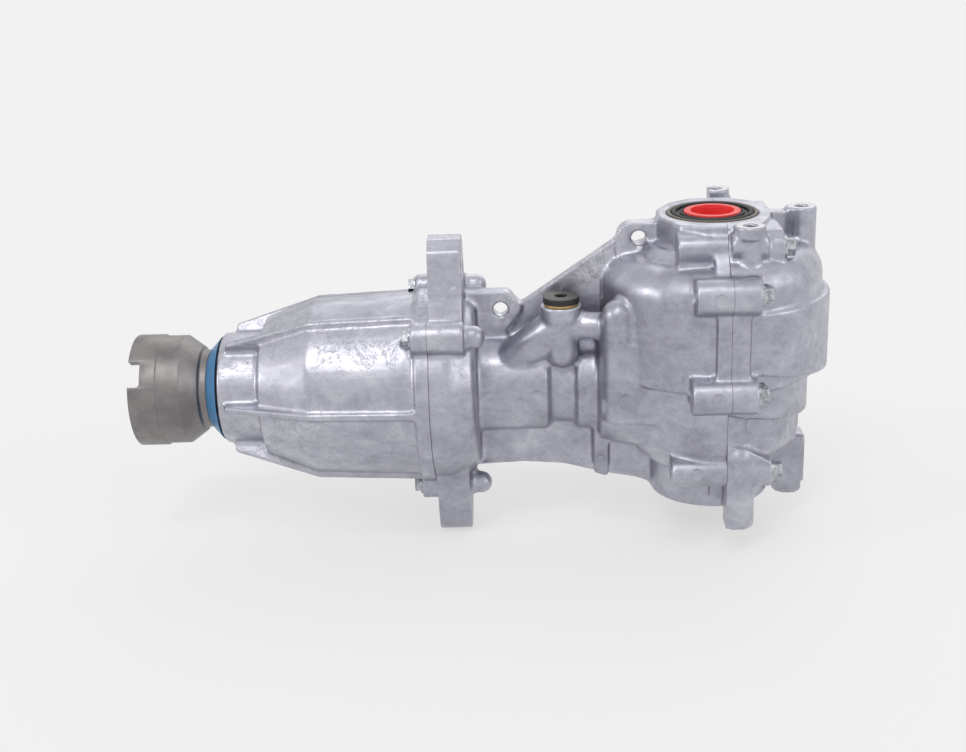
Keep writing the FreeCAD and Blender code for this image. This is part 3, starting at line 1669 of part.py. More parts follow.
def build():
    plug, washer = filler_parts()
    upper_case, upper_lip = axle_seal(neck_top_z, -1)
    lower_case, lower_lip = axle_seal(-axis_height, 1)
    inner_ring, balls, outer_ring = ball_bearing(input_shaft_radius, input_bearing_radius,
                                                 input_bearing_width, input_ball_radius,
                                                 input_ball_count)
    outer_plates, inner_plates = clutch_plates()
    main_cam, control_cam, cam_balls = cams()
    spacer, sleeve, nut = pinion_hardware()
    bearing_place = Vector(input_bearing_x, 0, 0)
    nodes = {
        "main_casing": main_casing(),
        "rear_cover": rear_cover(),
        "coupling_housing": coupling_housing(),
        "bell_bolts": bell_bolts(),
        "cover_bolts": cover_bolts(),
        "cover_dowels": group(dowels()),
        "filler_plug": plug,
        "filler_washer": washer,
        "upper_axle_seal": upper_case,
        "upper_seal_lip": upper_lip,
        "lower_axle_seal": lower_case,
        "lower_seal_lip": lower_lip,
        "axle_plug": axle_plug(),
        "input_flange": input_flange(),
        "dust_shield": dust_shield(),
        "input_oil_seal": input_oil_seal(),
        "input_nut": input_nut(),
        "input_bearing_inner": inner_ring.translated(bearing_place),
        "input_bearing_balls": balls.translated(bearing_place),
        "input_bearing_outer": outer_ring.translated(bearing_place),
        "coupling_drum": coupling_drum(),
        "outer_clutch_plates": outer_plates,
        "inner_clutch_plates": inner_plates,
        "clutch_hub": clutch_hub(),
        "main_cam": main_cam,
        "control_cam": control_cam,
        "cam_balls": cam_balls,
        "armature": armature(),
        "pilot_clutch_plates": pilot_plates(),
        "coupling_rotor": coupling_rotor(),
        "rotor_bush": rotor_bush(),
        "solenoid_coil": solenoid_coil(),
        "drive_pinion": drive_pinion(),
        "pinion_spacer": spacer,
        "seal_sleeve": sleeve,
        "pinion_nut": nut,
        "pinion_oil_seal": pinion_oil_seal(),
        "ring_gear": ring_gear(),
        "ring_gear_bolts": ring_gear_bolts(),
        "differential_case": differential_case(),
        "cross_pin": cross_pin_rod().cut(lock_pin()),
        "cross_pin_lock": lock_pin(),
        "upper_side_gear": side_gear(1),
        "lower_side_gear": side_gear(-1),
        "rear_spider_gear": spider_gear(1),
        "front_spider_gear": spider_gear(-1),
        "thrust_washers": thrust_washers(),
        "side_bearing_shims": side_bearing_shims(),
    }
    nodes.update(bearing_sets())
    return nodes


def main():
    os.makedirs(parts_folder, exist_ok=True)
    for name, shape in build().items():
        shape.translated(Vector(0, 0, axis_height)).exportStep(os.path.join(parts_folder, name + ".step"))


if __name__ == "__main__":
    main()
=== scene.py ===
import json
import math

import bmesh
import bpy
from mathutils import Matrix, Vector
from mathutils.bvhtree import BVHTree


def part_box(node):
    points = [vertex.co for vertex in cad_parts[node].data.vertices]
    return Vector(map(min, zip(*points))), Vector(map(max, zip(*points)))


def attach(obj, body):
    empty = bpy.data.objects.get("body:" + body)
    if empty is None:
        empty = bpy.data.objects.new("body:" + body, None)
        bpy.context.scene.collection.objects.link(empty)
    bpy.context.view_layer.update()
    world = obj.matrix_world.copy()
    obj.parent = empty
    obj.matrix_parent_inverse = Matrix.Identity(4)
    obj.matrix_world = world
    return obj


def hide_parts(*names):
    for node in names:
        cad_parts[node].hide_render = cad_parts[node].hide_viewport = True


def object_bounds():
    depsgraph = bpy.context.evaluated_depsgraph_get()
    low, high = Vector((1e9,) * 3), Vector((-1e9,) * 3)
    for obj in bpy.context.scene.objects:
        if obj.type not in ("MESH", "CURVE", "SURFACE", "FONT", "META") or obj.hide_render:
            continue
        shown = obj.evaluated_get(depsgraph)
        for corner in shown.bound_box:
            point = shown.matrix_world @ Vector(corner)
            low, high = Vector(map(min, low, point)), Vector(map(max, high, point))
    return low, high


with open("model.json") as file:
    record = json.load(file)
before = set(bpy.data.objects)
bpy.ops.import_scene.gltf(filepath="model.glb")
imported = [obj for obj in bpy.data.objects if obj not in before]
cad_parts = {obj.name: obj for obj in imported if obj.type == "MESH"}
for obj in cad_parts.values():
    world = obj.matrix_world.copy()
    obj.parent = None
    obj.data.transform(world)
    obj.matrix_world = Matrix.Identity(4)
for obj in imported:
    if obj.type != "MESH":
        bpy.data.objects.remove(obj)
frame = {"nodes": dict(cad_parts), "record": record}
nodes = frame["nodes"]
cadLow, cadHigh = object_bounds()
mm = 0.001
axisHeight = 0.097     # the pinion's axis above the lower mouth, metres
weldDistance = 1e-6    # vertices nearer than this are one, metres
print("frame loaded:", len(nodes), "nodes")


# Gear frame: millimetres from where the two axes cross, X rearwards, Z up along the axle.
seamX = 5.5            # joint of the main casing and the rear cover
bellMouthX = -227.0    # joint of the main casing and the front bell
topBosses = ((21.0, -60.5), (70.0, -1.0), (11.0, 71.5))
bottomBosses = ((15.2, -66.0), (66.2, 2.0), (15.2, 68.0))
topBossZ, bottomBossZ = 141.0, -104.0
coverBolts = ((48.0, 120.0, 43.0), (83.0, 92.0, 21.5), (84.0, 12.6, 20.5), (66.0, -58.0, 35.5))
fillerAt = (-121.8, -30.0, 74.0)


def spot(x, y, z):
    # A point of the gear frame in the shared frame, metres.
    return (x * mm, y * mm, z * mm + axisHeight)


# Faces that a tool has cut flat: the axis they look along, their centre and their outer radius.
cutRadius = {"boss": 10.6 * mm, "filler": 16.2 * mm, "mouth": 60 * mm, "coverBolt": 11 * mm}
cutFaces = [
    ("Z", spot(*fillerAt), cutRadius["filler"]),
    ("Z", (0, 0, 0), cutRadius["mouth"]),
]
for bossZ, bosses in ((topBossZ, topBosses), (bottomBossZ, bottomBosses)):
    for bossX, bossY in bosses:
        cutFaces.append(("Z", spot(bossX, bossY, bossZ), cutRadius["boss"]))
for boltY, boltZ, behind in coverBolts:
    for side in (-1, 1):
        cutFaces.append(("X", spot(seamX + behind, side * boltY, boltZ), cutRadius["coverBolt"]))


# Shader maths: an expression on Flow values adds its own Math nodes.
class Flow:
    def __init__(self, tree, socket):
        self.tree = tree
        self.socket = socket

    def math(self, operation, *values):
        node = self.tree.nodes.new("ShaderNodeMath")
        node.operation = operation
        for slot, value in zip(node.inputs, values):
            plug(self.tree, slot, value)
        return Flow(self.tree, node.outputs[0])

    def __add__(self, other):
        return self.math("ADD", self, other)

    def __radd__(self, other):
        return self.math("ADD", other, self)

    def __sub__(self, other):
        return self.math("SUBTRACT", self, other)

    def __rsub__(self, other):
        return self.math("SUBTRACT", other, self)

    def __mul__(self, other):
        return self.math("MULTIPLY", self, other)

    def __rmul__(self, other):
        return self.math("MULTIPLY", other, self)


def plug(tree, slot, value):
    # Links a socket to the slot, or writes a value in it.
    if isinstance(value, Flow):
        tree.links.new(value.socket, slot)
    elif isinstance(value, bpy.types.NodeSocket):
        tree.links.new(value, slot)
    elif isinstance(value, (tuple, list)) and len(value) == 3 and len(slot.default_value) == 4:
        slot.default_value = (*value, 1.0)
    else:
        slot.default_value = value


class Finish:
    # One material: a Principled shader, and what varies over the surface.
    def __init__(self, name, color, roughness, metallic=0.0, **constants):
        self.material = bpy.data.materials.new(name)
        self.material.use_nodes = True
        self.material.diffuse_color = (*color, 1.0)
        self.tree = self.material.node_tree
        self.shader = self.tree.nodes["Principled BSDF"]
        self.set("Base Color", color)
        self.set("Roughness", roughness)
        self.set("Metallic", metallic)
        for socket, value in constants.items():
            self.set(socket.replace("_", " "), value)
        self.coords = self.node("ShaderNodeTexCoord").outputs["Object"]

    def set(self, socket, value):
        plug(self.tree, self.shader.inputs[socket], value)

    def node(self, kind, settings=None, **values):
        node = self.tree.nodes.new(kind)
        for key, value in (settings or {}).items():
            if key == "stops":
                self.writeStops(node.color_ramp.elements, value)
            else:
                setattr(node, key, value)
        for key, value in values.items():
            plug(self.tree, node.inputs[key], value)
        return node

    def writeStops(self, ramp, stops):
        # A stop is its place and its shade, a number or a colour.
        while len(ramp) < len(stops):
            ramp.new(0.5)
        for stop, (place, shade) in zip(ramp, stops):
            color = shade if isinstance(shade, tuple) else (shade, shade, shade)
            stop.position = place
            stop.color = (*color, 1.0)

    def flow(self, socket):
        return Flow(self.tree, socket)

    def noise(self, scale, detail=3.0, rough=0.55, stretch=(1, 1, 1), twist=0.0, place=None):
        mapped = self.node("ShaderNodeMapping", Vector=place or self.coords, Scale=stretch).outputs[0]
        made = self.node("ShaderNodeTexNoise", Vector=mapped, Scale=scale, Detail=detail, Roughness=rough,
                         Distortion=twist)
        return self.flow(made.outputs["Fac"])

    def cells(self, scale):
        made = self.node("ShaderNodeTexVoronoi", {"feature": "F1"}, Vector=self.coords, Scale=scale)
        return self.flow(made.outputs["Distance"])

    def ramp(self, value, *stops):
        made = self.node("ShaderNodeValToRGB", {"stops": stops}, Fac=value)
        return self.flow(made.outputs["Color"])

    def mix(self, factor, first, second):
        # Sockets 6 and 7 are the two colours, and output 2 is their mix.
        made = self.node("ShaderNodeMix", {"data_type": "RGBA"})
        for index, value in ((0, factor), (6, first), (7, second)):
            plug(self.tree, made.inputs[index], value)
        return made.outputs[2]

    def bump(self, height, depth, strength=1.0):
        made = self.node("ShaderNodeBump", Height=height, Distance=depth, Strength=strength)
        self.set("Normal", made.outputs[0])

    def countedFrom(self, origin):
        # The surface's place, counted from origin.
        back = tuple(-c for c in origin)
        return self.node("ShaderNodeMapping", Vector=self.coords, Location=back).outputs[0]

    def axis(self, name, origin=(0, 0, 0)):
        split = self.node("ShaderNodeSeparateXYZ", Vector=self.countedFrom(origin))
        return self.flow(split.outputs[name])

    def radius(self, along, origin):
        # Distance from a line along X or Z through origin.
        flat = (0, 1, 1) if along == "X" else (1, 1, 0)
        spread = self.node("ShaderNodeVectorMath", {"operation": "MULTIPLY"})
        plug(self.tree, spread.inputs[0], self.countedFrom(origin))
        plug(self.tree, spread.inputs[1], flat)
        length = self.node("ShaderNodeVectorMath", {"operation": "LENGTH"})
        plug(self.tree, length.inputs[0], spread.outputs[0])
        return self.flow(length.outputs["Value"])


aluminium = {
    "scales": {"cloud": 7, "flow": 38, "stain": 110, "speck": 620, "pores": 260, "porous": 24, "cracks": 34},
    "dark": (0.275, 0.275, 0.32),
    "middle": (0.43, 0.43, 0.49),
    "light": (0.58, 0.58, 0.64),
    "pore": (0.13, 0.13, 0.145),
    "cut": (0.50, 0.50, 0.52),
    "darkRoughness": 0.43,
    "lightRoughness": 0.27,
    "cutRoughness": 0.33,
    "cutReach": 0.25 * mm,      # how far from its plane a cut face still looks cut
    "reliefDepth": 0.24 * mm,
    "reliefStrength": 0.4,
}


def castAluminium():
    f = Finish("castAluminium", (0.36, 0.36, 0.385), 0.34, 0.95)
    scales = aluminium["scales"]
    cloud = f.noise(scales["cloud"], 4, 0.6, twist=0.6)
    flowMarks = f.noise(scales["flow"], 6, 0.7, stretch=(0.7, 1, 1.2), twist=0.7)
    stain = f.noise(scales["stain"], 6, 0.75, twist=0.8)
    speck = f.noise(scales["speck"], 2, 0.6)
    porous = f.ramp(f.noise(scales["porous"], 2), (0.52, 0.0), (0.6, 1.0))
    pores = f.ramp(f.cells(scales["pores"]), (0.05, 1.0), (0.12, 0.0)) * porous
    veins = f.noise(scales["cracks"], 8, 0.75, twist=0.9)
    crack = f.ramp(veins, (0.488, 0.0), (0.5, 1.0), (0.512, 0.0)) * f.ramp(cloud, (0.5, 0.0), (0.62, 1.0))
    blend = cloud * 0.4 + flowMarks * 0.35 + stain * 0.25
    shade = f.ramp(blend, (0.36, aluminium["dark"]), (0.5, aluminium["middle"]), (0.62, aluminium["light"]))
    flaws = f.ramp(pores + crack * 0.6, (0.0, 0.0), (1.0, 1.0))
    worn = f.mix(flaws, shade.socket, aluminium["pore"])
    # The surfaces cut by a tool are brighter than the skin of the casting.
    cut = toolMarks(f)
    f.set("Base Color", f.mix(cut, worn, aluminium["cut"]))
    skin = f.ramp(blend, (0.36, aluminium["darkRoughness"]), (0.62, aluminium["lightRoughness"]))
    f.set("Roughness", (skin + speck * 0.06) * (1.0 - cut) + cut * aluminium["cutRoughness"])
    relief = speck * 0.4 + stain * 1.1 + flowMarks * 1.3 + cloud * 1.6 - pores * 1.2 - crack * 0.8
    f.bump(relief, aluminium["reliefDepth"], aluminium["reliefStrength"])
    return f.material


def toolMarks(f):
    # 1 on the faces cut by a tool, else 0.
    total = None
    for axis, centre, radius in cutFaces:
        across = f.radius(axis, centre)
        offset = f.axis(axis, centre)
        away = offset.math("ABSOLUTE", offset)
        onPlane = away.math("LESS_THAN", away, aluminium["cutReach"])
        disc = across.math("LESS_THAN", across, radius) * onPlane
        total = disc if total is None else total.math("MAXIMUM", total, disc)
    return total


def zincPlate():
    f = Finish("zincPlate", (0.62, 0.64, 0.66), 0.25, 1.0)
    cloud = f.noise(240, 3)
    f.set("Roughness", 0.16 + cloud * 0.2)
    tone = f.ramp(cloud, (0.4, 0.0), (0.6, 1.0))
    f.set("Base Color", f.mix(tone, (0.30, 0.32, 0.34), (0.52, 0.54, 0.56)))
    return f.material


def flangeSteel():
    # Fine grooves run round the axis, as a lathe leaves them.
    f = Finish("flangeSteel", (0.33, 0.31, 0.29), 0.42, 0.85)
    lathe = f.node("ShaderNodeCombineXYZ", X=f.axis("X") * 2600, Y=f.radius("X", spot(0, 0, 0)) * 1400)
    grooves = f.noise(1, 3, 0.6, place=lathe.outputs[0])
    cloud = f.noise(38, 4, 0.6)
    tone = f.ramp(cloud, (0.35, 0.0), (0.65, 1.0))
    f.set("Base Color", f.mix(tone, (0.19, 0.177, 0.178), (0.29, 0.27, 0.268)))
    f.set("Roughness", 0.3 + grooves * 0.16 + cloud * 0.1)
    f.bump(grooves + cloud * 0.5, 0.12 * mm, 0.35)
    return f.material


def bluePaint():
    f = Finish("bluePaint", (0.04, 0.2, 0.44), 0.42, 0.0, Coat_Weight=0.15)
    cloud = f.noise(60, 3)
    f.set("Base Color", f.mix(cloud, (0.04, 0.15, 0.32), (0.09, 0.26, 0.47)))
    f.bump(f.noise(700, 2), 0.08 * mm, 0.3)
    return f.material


def plain(name, dark, light, low, high, metallic=0.0, grain=300.0, depth=0.06 * mm):
    # A quiet finish: two tones, a roughness from low to high, and a grain of one scale.
    f = Finish(name, dark, low, metallic)
    cloud = f.noise(45, 3)
    fine = f.noise(grain, 3)
    f.set("Base Color", f.mix(cloud, dark, light))
    f.set("Roughness", low + fine * (high - low))
    f.bump(fine, depth, 0.4)
    return f.material


finishes = {
    "cast_aluminium": castAluminium(),
    "zinc_plate": zincPlate(),
    "steel_flange": flangeSteel(),
    "blue_shield": bluePaint(),
    "black_rubber": plain("blackRubber", (0.018, 0.018, 0.02), (0.035, 0.034, 0.034), 0.5, 0.75),
    "seal_metal": plain("sealMetal", (0.10, 0.09, 0.075), (0.17, 0.15, 0.13), 0.35, 0.6, 0.6),
    "red_plastic": plain("redPlastic", (0.72, 0.02, 0.025), (0.83, 0.05, 0.045), 0.38, 0.5),
    "black_plug": plain("blackOxide", (0.012, 0.011, 0.010), (0.03, 0.026, 0.023), 0.3, 0.5, 0.1),
    "brass_washer": plain("brassWasher", (0.55, 0.36, 0.13), (0.68, 0.47, 0.2), 0.3, 0.5, 0.9),
    "machined_steel": plain("machinedSteel", (0.42, 0.42, 0.43), (0.55, 0.55, 0.55), 0.24, 0.42, 1.0),
    "bearing_steel": plain("bearingSteel", (0.6, 0.6, 0.6), (0.7, 0.7, 0.7), 0.12, 0.25, 1.0),
    # Also given to the boss threads, where its dark colour is painted shade inside their holes.
    "case_iron": plain("caseIron", (0.13, 0.13, 0.13), (0.2, 0.2, 0.19), 0.5, 0.75, 0.6, 500, 0.2 * mm),
    "friction_paper": plain("frictionPaper", (0.2, 0.14, 0.08), (0.3, 0.21, 0.12), 0.7, 0.9),
    "bronze": plain("bronze", (0.5, 0.34, 0.16), (0.62, 0.43, 0.22), 0.25, 0.4, 1.0),
    "coil_resin": plain("coilResin", (0.07, 0.055, 0.045), (0.12, 0.1, 0.08), 0.4, 0.6),
}
slotOf = {part["node"]: part["material_slot"] for part in frame["record"]["subparts"]}
print("finishes ready:", len(finishes))


def newPiece(name, bm, finish, body, smooth):
    # Makes the bmesh a piece that rides on a body; edges sharper than smooth degrees stay sharp.
    bmesh.ops.remove_doubles(bm, verts=bm.verts, dist=weldDistance)
    bmesh.ops.recalc_face_normals(bm, faces=bm.faces)
    mesh = bpy.data.meshes.new(name)
    bm.to_mesh(mesh)
    bm.free()
    mesh.materials.append(finishes[finish])
    piece = bpy.data.objects.new(name, mesh)
    bpy.context.scene.collection.objects.link(piece)
    mesh.shade_smooth()
    mesh.set_sharp_from_angle(angle=math.radians(smooth))
    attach(piece, body)
    return piece


castings = {
    "voxel": 0.9 * mm,
    "fillet": 3.0 * mm,      # inner corners between two forms
    "edge": 0.8 * mm,        # outer corners
    "spareVoxels": 3,        # room round the surface, past what it grows or shrinks
    "jointReach": 4.0 * mm,  # how far a joint face is carried on while the corners are rounded
    "jointNear": 0.01 * mm,  # a face this near the joint belongs to it
    "jointFacing": 0.99,     # and faces along X at least this squarely
    "jointGap": 0.13 * mm,   # what each casting stands back at the joint, for a fine line
    "triangles": 190000,
    "smooth": 48,            # degrees
}


def blendNodes():
    # Grows the casting, shrinks it past its size and grows it back: the corners come out round.
    steps = (castings["fillet"], -castings["fillet"] - castings["edge"], castings["edge"])
    tree = bpy.data.node_groups.new("castBlend", "GeometryNodeTree")
    tree.interface.new_socket("Geometry", in_out="INPUT", socket_type="NodeSocketGeometry")
    tree.interface.new_socket("Geometry", in_out="OUTPUT", socket_type="NodeSocketGeometry")
    shape = tree.nodes.new("NodeGroupInput").outputs[0]
    for step in steps:
        voxels = int(abs(step) / castings["voxel"])
        field = tree.nodes.new("GeometryNodeMeshToSDFGrid")
        field.inputs["Voxel Size"].default_value = castings["voxel"]
        field.inputs["Band Width"].default_value = voxels + castings["spareVoxels"]
        skin = tree.nodes.new("GeometryNodeGridToMesh")
        skin.inputs["Threshold"].default_value = step
        tree.links.new(shape, field.inputs["Mesh"])
        tree.links.new(field.outputs[0], skin.inputs[0])
        shape = skin.outputs[0]
    tree.links.new(shape, tree.nodes.new("NodeGroupOutput").inputs[0])
    return tree


def applied(piece):
    # The piece's mesh with its modifiers worked in.
    graph = bpy.context.evaluated_depsgraph_get()
    mesh = bpy.data.meshes.new_from_object(piece.evaluated_get(graph))
    piece.modifiers.clear()
    old = piece.data
    piece.data = mesh
    bpy.data.meshes.remove(old)
    return mesh


def carryOn(bm, place, way):
    # Extends the flat joint face at x = place, so that its rim isn't rounded.
    faces = []
    for face in bm.faces:
        onJoint = abs(face.calc_center_median().x - place) < castings["jointNear"]
        if onJoint and face.normal.x * way > castings["jointFacing"]:
            faces.append(face)
    grown = bmesh.ops.extrude_face_region(bm, geom=faces)["geom"]
    bmesh.ops.translate(bm, verts=[v for v in grown if isinstance(v, bmesh.types.BMVert)],
                        vec=(way * castings["jointReach"], 0, 0))
    bmesh.ops.delete(bm, geom=faces, context="FACES_ONLY")


def cutBack(mesh, place, way):
    # Cuts what was carried on off again at the joint face and closes it.
    bm = bmesh.new()
    bm.from_mesh(mesh)
    cut = bmesh.ops.bisect_plane(bm, geom=bm.verts[:] + bm.edges[:] + bm.faces[:], dist=weldDistance,
                                 plane_co=(place, 0, 0), plane_no=(way, 0, 0), clear_outer=True)["geom_cut"]
    rim = [edge for edge in cut if isinstance(edge, bmesh.types.BMEdge)]
    bmesh.ops.triangle_fill(bm, edges=rim, use_beauty=True, normal=(way, 0, 0))
    bm.to_mesh(mesh)
    bm.free()


def castCopy(name, joints):
    # Stands for a casting's CAD node, with the round corners that a die leaves.
    bm = bmesh.new()
    bm.from_mesh(nodes[name].data)
    bmesh.ops.remove_doubles(bm, verts=bm.verts, dist=weldDistance)
    bm.normal_update()
    for place, way in joints:
        carryOn(bm, place, way)
    mesh = bpy.data.meshes.new(name + "_cast")
    bm.to_mesh(mesh)
    bm.free()
    piece = bpy.data.objects.new(name + "_cast", mesh)
    bpy.context.scene.collection.objects.link(piece)
    piece.modifiers.new("blend", "NODES").node_group = blendTree
    mesh = applied(piece)
    count = 2 * len(mesh.polygons)
    if count > castings["triangles"]:
        thin = piece.modifiers.new("thin", "DECIMATE")
        thin.ratio = castings["triangles"] / count
        mesh = applied(piece)
    for place, way in joints:
        cutBack(mesh, place - way * castings["jointGap"], way)
    mesh.materials.clear()
    mesh.materials.append(finishes["cast_aluminium"])
    mesh.shade_smooth()
    mesh.set_sharp_from_angle(angle=math.radians(castings["smooth"]))
    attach(piece, "housing")
    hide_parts(name)
    print("casting", name, count, "->", len(mesh.polygons))
    return piece


blendTree = blendNodes()
seamAt, mouthAt = seamX * mm, bellMouthX * mm
mainCast = castCopy("main_casing", [(seamAt, 1), (mouthAt, -1)])
coverCast = castCopy("rear_cover", [(seamAt, -1)])
bellCast = castCopy("coupling_housing", [(mouthAt, 1)])

# The other CAD nodes keep their shape and get a small round on their edges.
nodeEdges = {"width": 0.3 * mm, "segments": 2, "sharperThan": 35}     # degrees

for name, node in nodes.items():
    node.data.materials.clear()
    node.data.materials.append(finishes[slotOf[name]])
    if name in ("main_casing", "rear_cover", "coupling_housing"):
        continue
    node.modifiers.new("weld", "WELD").merge_threshold = weldDistance
    edge = node.modifiers.new("edge", "BEVEL")
    edge.width = nodeEdges["width"]
    edge.segments = nodeEdges["segments"]
    edge.limit_method = "ANGLE"
    edge.angle_limit = math.radians(nodeEdges["sharperThan"])
    edge.harden_normals = False


camera = {
    "focal": 1415.48, "width": 966, "height": 752,     # pixels
    "sensor": 36,                                      # millimetres
    "yaw": -0.04, "pitch": 0.344, "roll": -0.04,       # radians
    "place": Vector((-0.1429, -1.1062, 0.40087 + axisHeight)),
}


def cameraAxes():
    yaw, pitch, roll = camera["yaw"], camera["pitch"], camera["roll"]
    forward = Vector((math.sin(yaw) * math.cos(pitch), math.cos(yaw) * math.cos(pitch), -math.sin(pitch)))
    level = Vector((math.cos(yaw), -math.sin(yaw), 0))
    upright = level.cross(forward)
    right = level * math.cos(roll) + upright * math.sin(roll)
    up = upright * math.cos(roll) - level * math.sin(roll)
    return right, up, forward


def surfaceTree(piece):
    mesh = piece.data
    return BVHTree.FromPolygons([v.co for v in mesh.vertices], [p.vertices[:] for p in mesh.polygons])


def surfaceAt(column, row, trees):
    # The nearest casting surface in view at a place of the picture: its point and normal.
    right, up, forward = cameraAxes()
    fromMiddle = right * (column - camera["width"] / 2) - up * (row - camera["height"] / 2)
    ray = (forward * camera["focal"] + fromMiddle).normalized()
    hits = [tree.ray_cast(camera["place"], ray) for tree in trees]
    nearest = min((hit for hit in hits if hit[0]), key=lambda hit: hit[3])
    return nearest[0], nearest[1]


# Ejector marks: low round discs left by the die. Lengths are in mm, columns and rows in the picture.
ejectorMarks = {
    "discs": (   # column, row, radius
        (721.8, 302.1, 5.2), (718.8, 401.4, 5.2), (697.5, 474.8, 4.8), (537.1, 396.8, 5.2),
        (626.0, 401.6, 5.5), (600.6, 459.1, 3.8),
    ),
    "taper": 0.25,
    "thick": 1.4,
    "sunk": 0.15,     # the disc's middle below the surface
    "corners": 40,
}


def addEjectorMarks():
    trees = [surfaceTree(piece) for piece in (mainCast, coverCast, bellCast)]
    bm = bmesh.new()
    for column, row, radius in ejectorMarks["discs"]:
        point, normal = surfaceAt(column, row, trees)
        turn = normal.to_track_quat("Z", "Y").to_matrix().to_4x4()
        place = Matrix.Translation(point - normal * ejectorMarks["sunk"] * mm)
        topRadius = radius - ejectorMarks["taper"]
        bmesh.ops.create_cone(bm, cap_ends=True, segments=ejectorMarks["corners"], radius1=radius * mm,
                              radius2=topRadius * mm, depth=ejectorMarks["thick"] * mm, matrix=place @ turn)
    newPiece("ejectorMarks", bm, "cast_aluminium", "housing", 30)


def turned(bm, corners, centre, steps=72, rise=0.0, turns=1):
    # Turns a closed profile of (radius, height) in mm about a vertical line, or winds it up by rise a turn.
    x, y, z = centre
    verts = [bm.verts.new((x + radius * mm, y, z + height * mm)) for radius, height in corners]
    edges = [bm.edges.new(pair) for pair in zip(verts, verts[1:] + verts[:1])]
    bmesh.ops.spin(bm, geom=verts + edges, cent=centre, axis=(0, 0, 1), angle=2 * math.pi * turns,
                   steps=steps * turns, dvec=(0, 0, rise * mm / steps), use_merge=rise == 0.0)


def ringProfile(radius, height, half, flat=1.0, corners=10):
    # The round section of a ring about (radius, height), flattened to flat times its height.
    angles = [2 * math.pi * k / corners for k in range(corners)]
    return [(radius + half * math.cos(a), height + half * flat * math.sin(a)) for a in angles]


# The threads in the mounting bosses, millimetres.
bossThreads = {
    "pitch": 1.75,
    "root": (5.25, 0.75),     # radius and half width of the thread in the wall
    "crest": (4.75, 0.1),     # and at its top
    "start": 2.2,             # in from the mouth
    "turns": 6,
    "steps": 24,              # a turn
}


def addThreads():
    bm = bmesh.new()
    (root, rootHalf), (crest, crestHalf) = bossThreads["root"], bossThreads["crest"]
    section = [(root, -rootHalf), (crest, -crestHalf), (crest, crestHalf), (root, rootHalf)]
    for z, places, inwards in ((topBossZ, topBosses, -1), (bottomBossZ, bottomBosses, 1)):
        for x, y in places:
            turned(bm, section, spot(x, y, z + inwards * bossThreads["start"]), bossThreads["steps"],
                   inwards * bossThreads["pitch"], bossThreads["turns"])
    # The dark case_iron finish on the threads is painted shade for the inside of the threaded holes.
    newPiece("bossThreads", bm, "case_iron", "housing", 30)


# Rings on the axle seals: radius and half thickness in mm, and how flat they are.
sealRings = {
    "lips": ((30.6, 1.7), (24.6, 0.8)),
    "lipFlat": 0.7,
    "rim": (34.6, 1.5),
    "rimFlat": 0.45,
}


def outerLevel(name):
    # The height of a seal's outer side: its top above the axis, its underside below.
    low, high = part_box(name)
    return high[2] if name.startswith("upper") else low[2]


def addSealLips():
    # The raised dust lips and the metal rim of each axle seal.
    bm = bmesh.new()
    for name in ("upper_seal_lip", "lower_seal_lip"):
        for radius, half in sealRings["lips"]:
            turned(bm, ringProfile(radius, 0, half, sealRings["lipFlat"]), (0, 0, outerLevel(name)))
    newPiece("sealLips", bm, "black_rubber", "housing", 60)
    bm = bmesh.new()
    radius, half = sealRings["rim"]
    for name in ("upper_axle_seal", "lower_axle_seal"):
        turned(bm, ringProfile(radius, 0, half, sealRings["rimFlat"]), (0, 0, outerLevel(name)))
    newPiece("sealRims", bm, "seal_metal", "housing", 60)


# Rings inside the cup of the transport plug, millimetres.
plugRidges = {"radius": 17.6, "half": 0.45, "depths": (2.6, 4.4, 6.2, 8.0)}


def addPlugRidges():
    bm = bmesh.new()
    plugLow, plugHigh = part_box("axle_plug")
    for depth in plugRidges["depths"]:
        turned(bm, ringProfile(plugRidges["radius"], -depth, plugRidges["half"]), (0, 0, plugHigh[2]))
    newPiece("plugRidges", bm, "red_plastic", "plug", 60)


addEjectorMarks()
addThreads()
addSealLips()
addPlugRidges()
print("details ready")


stageLook = {
    "background": 0.888,
    "ambient": 0.68,
    "floorColor": (0.33, 0.33, 0.33),
    "floorGlow": 0.545,      # lifts the floor's shadow
    "floorSize": 30,         # metres from its middle
    "floor": cadLow.z - 2 * mm,
    "suns": (   # direction the light comes from (azimuth, height), strength, softness in degrees
        (-24, 48, 0.38, 20),
        (-6, 64, 0.28, 8),
        (62, 24, 0.35, 30),
        (-72, 18, 0.45, 12),
        (165, 38, 0.5, 50),
    ),
}


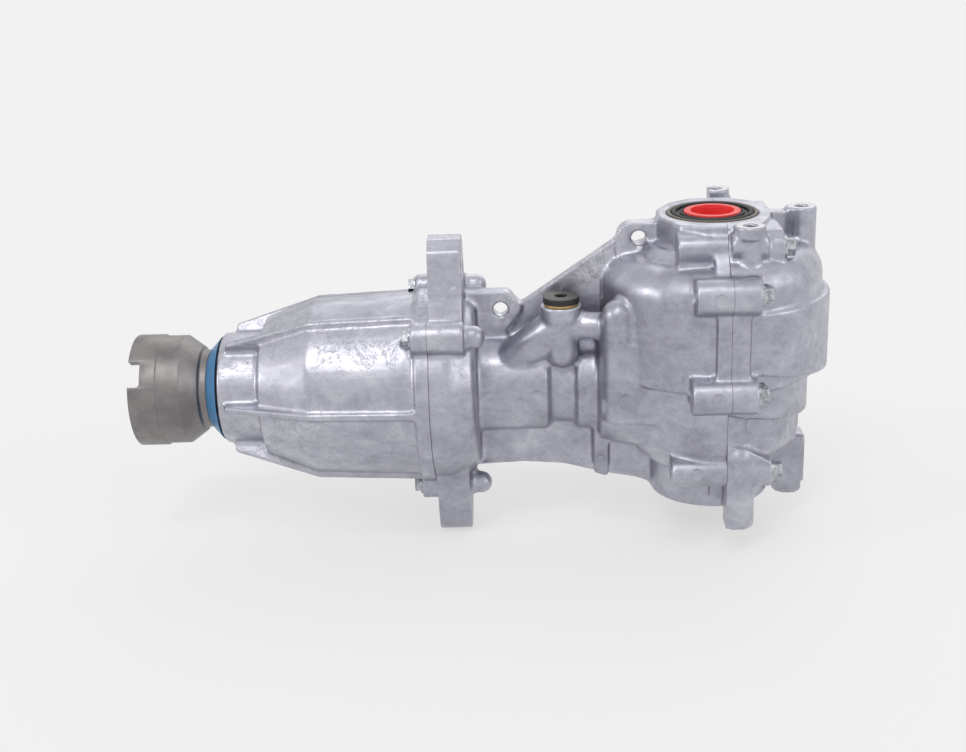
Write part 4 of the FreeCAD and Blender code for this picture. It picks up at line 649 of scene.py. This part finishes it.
def makeWorld():
    # Light of one level, and a pale background where the camera or a reflection sees it.
    world = bpy.data.worlds.new("studio")
    bpy.context.scene.world = world
    world.use_nodes = True
    tree = world.node_tree
    background = tree.nodes["Background"]
    path = tree.nodes.new("ShaderNodeLightPath")
    seen = Flow(tree, path.outputs["Is Camera Ray"])
    seen = seen.math("MAXIMUM", seen, path.outputs["Is Glossy Ray"])
    seen = seen.math("MAXIMUM", seen, path.outputs["Is Transmission Ray"])
    background.inputs["Color"].default_value = (1, 1, 1, 1)
    ambient = stageLook["ambient"]
    plug(tree, background.inputs["Strength"], ambient + seen * (stageLook["background"] - ambient))


def makeFloor():
    bm = bmesh.new()
    bmesh.ops.create_grid(bm, x_segments=1, y_segments=1, size=stageLook["floorSize"])
    bmesh.ops.translate(bm, verts=bm.verts, vec=(0, 0, stageLook["floor"]))
    mesh = bpy.data.meshes.new("floor")
    bm.to_mesh(mesh)
    bm.free()
    floor = bpy.data.objects.new("floor", mesh)
    bpy.context.scene.collection.objects.link(floor)
    paleFloor = Finish("paleFloor", stageLook["floorColor"], 1.0, Specular_IOR_Level=0.0,
                       Emission_Color=(1, 1, 1), Emission_Strength=stageLook["floorGlow"])
    mesh.materials.append(paleFloor.material)


def makeSuns():
    for azimuth, height, strength, soft in stageLook["suns"]:
        lamp = bpy.data.lights.new("sun", "SUN")
        lamp.energy = strength
        lamp.angle = math.radians(soft)
        holder = bpy.data.objects.new("sun", lamp)
        bpy.context.scene.collection.objects.link(holder)
        a, h = math.radians(azimuth), math.radians(height)
        towards = Vector((math.sin(a) * math.cos(h), -math.cos(a) * math.cos(h), math.sin(h)))
        holder.rotation_euler = towards.to_track_quat("Z", "Y").to_euler()


def makeCamera():
    right, up, forward = cameraAxes()
    data = bpy.data.cameras.new("camera")
    data.sensor_width = camera["sensor"]
    data.lens = camera["focal"] / camera["width"] * camera["sensor"]
    holder = bpy.data.objects.new("camera", data)
    bpy.context.scene.collection.objects.link(holder)
    turn = Matrix((right, up, -forward)).transposed().to_4x4()
    holder.matrix_world = Matrix.Translation(camera["place"]) @ turn
    bpy.context.scene.camera = holder


makeWorld()
makeFloor()
makeSuns()
makeCamera()
bpy.context.scene.view_settings.view_transform = "Standard"
print("stage ready")
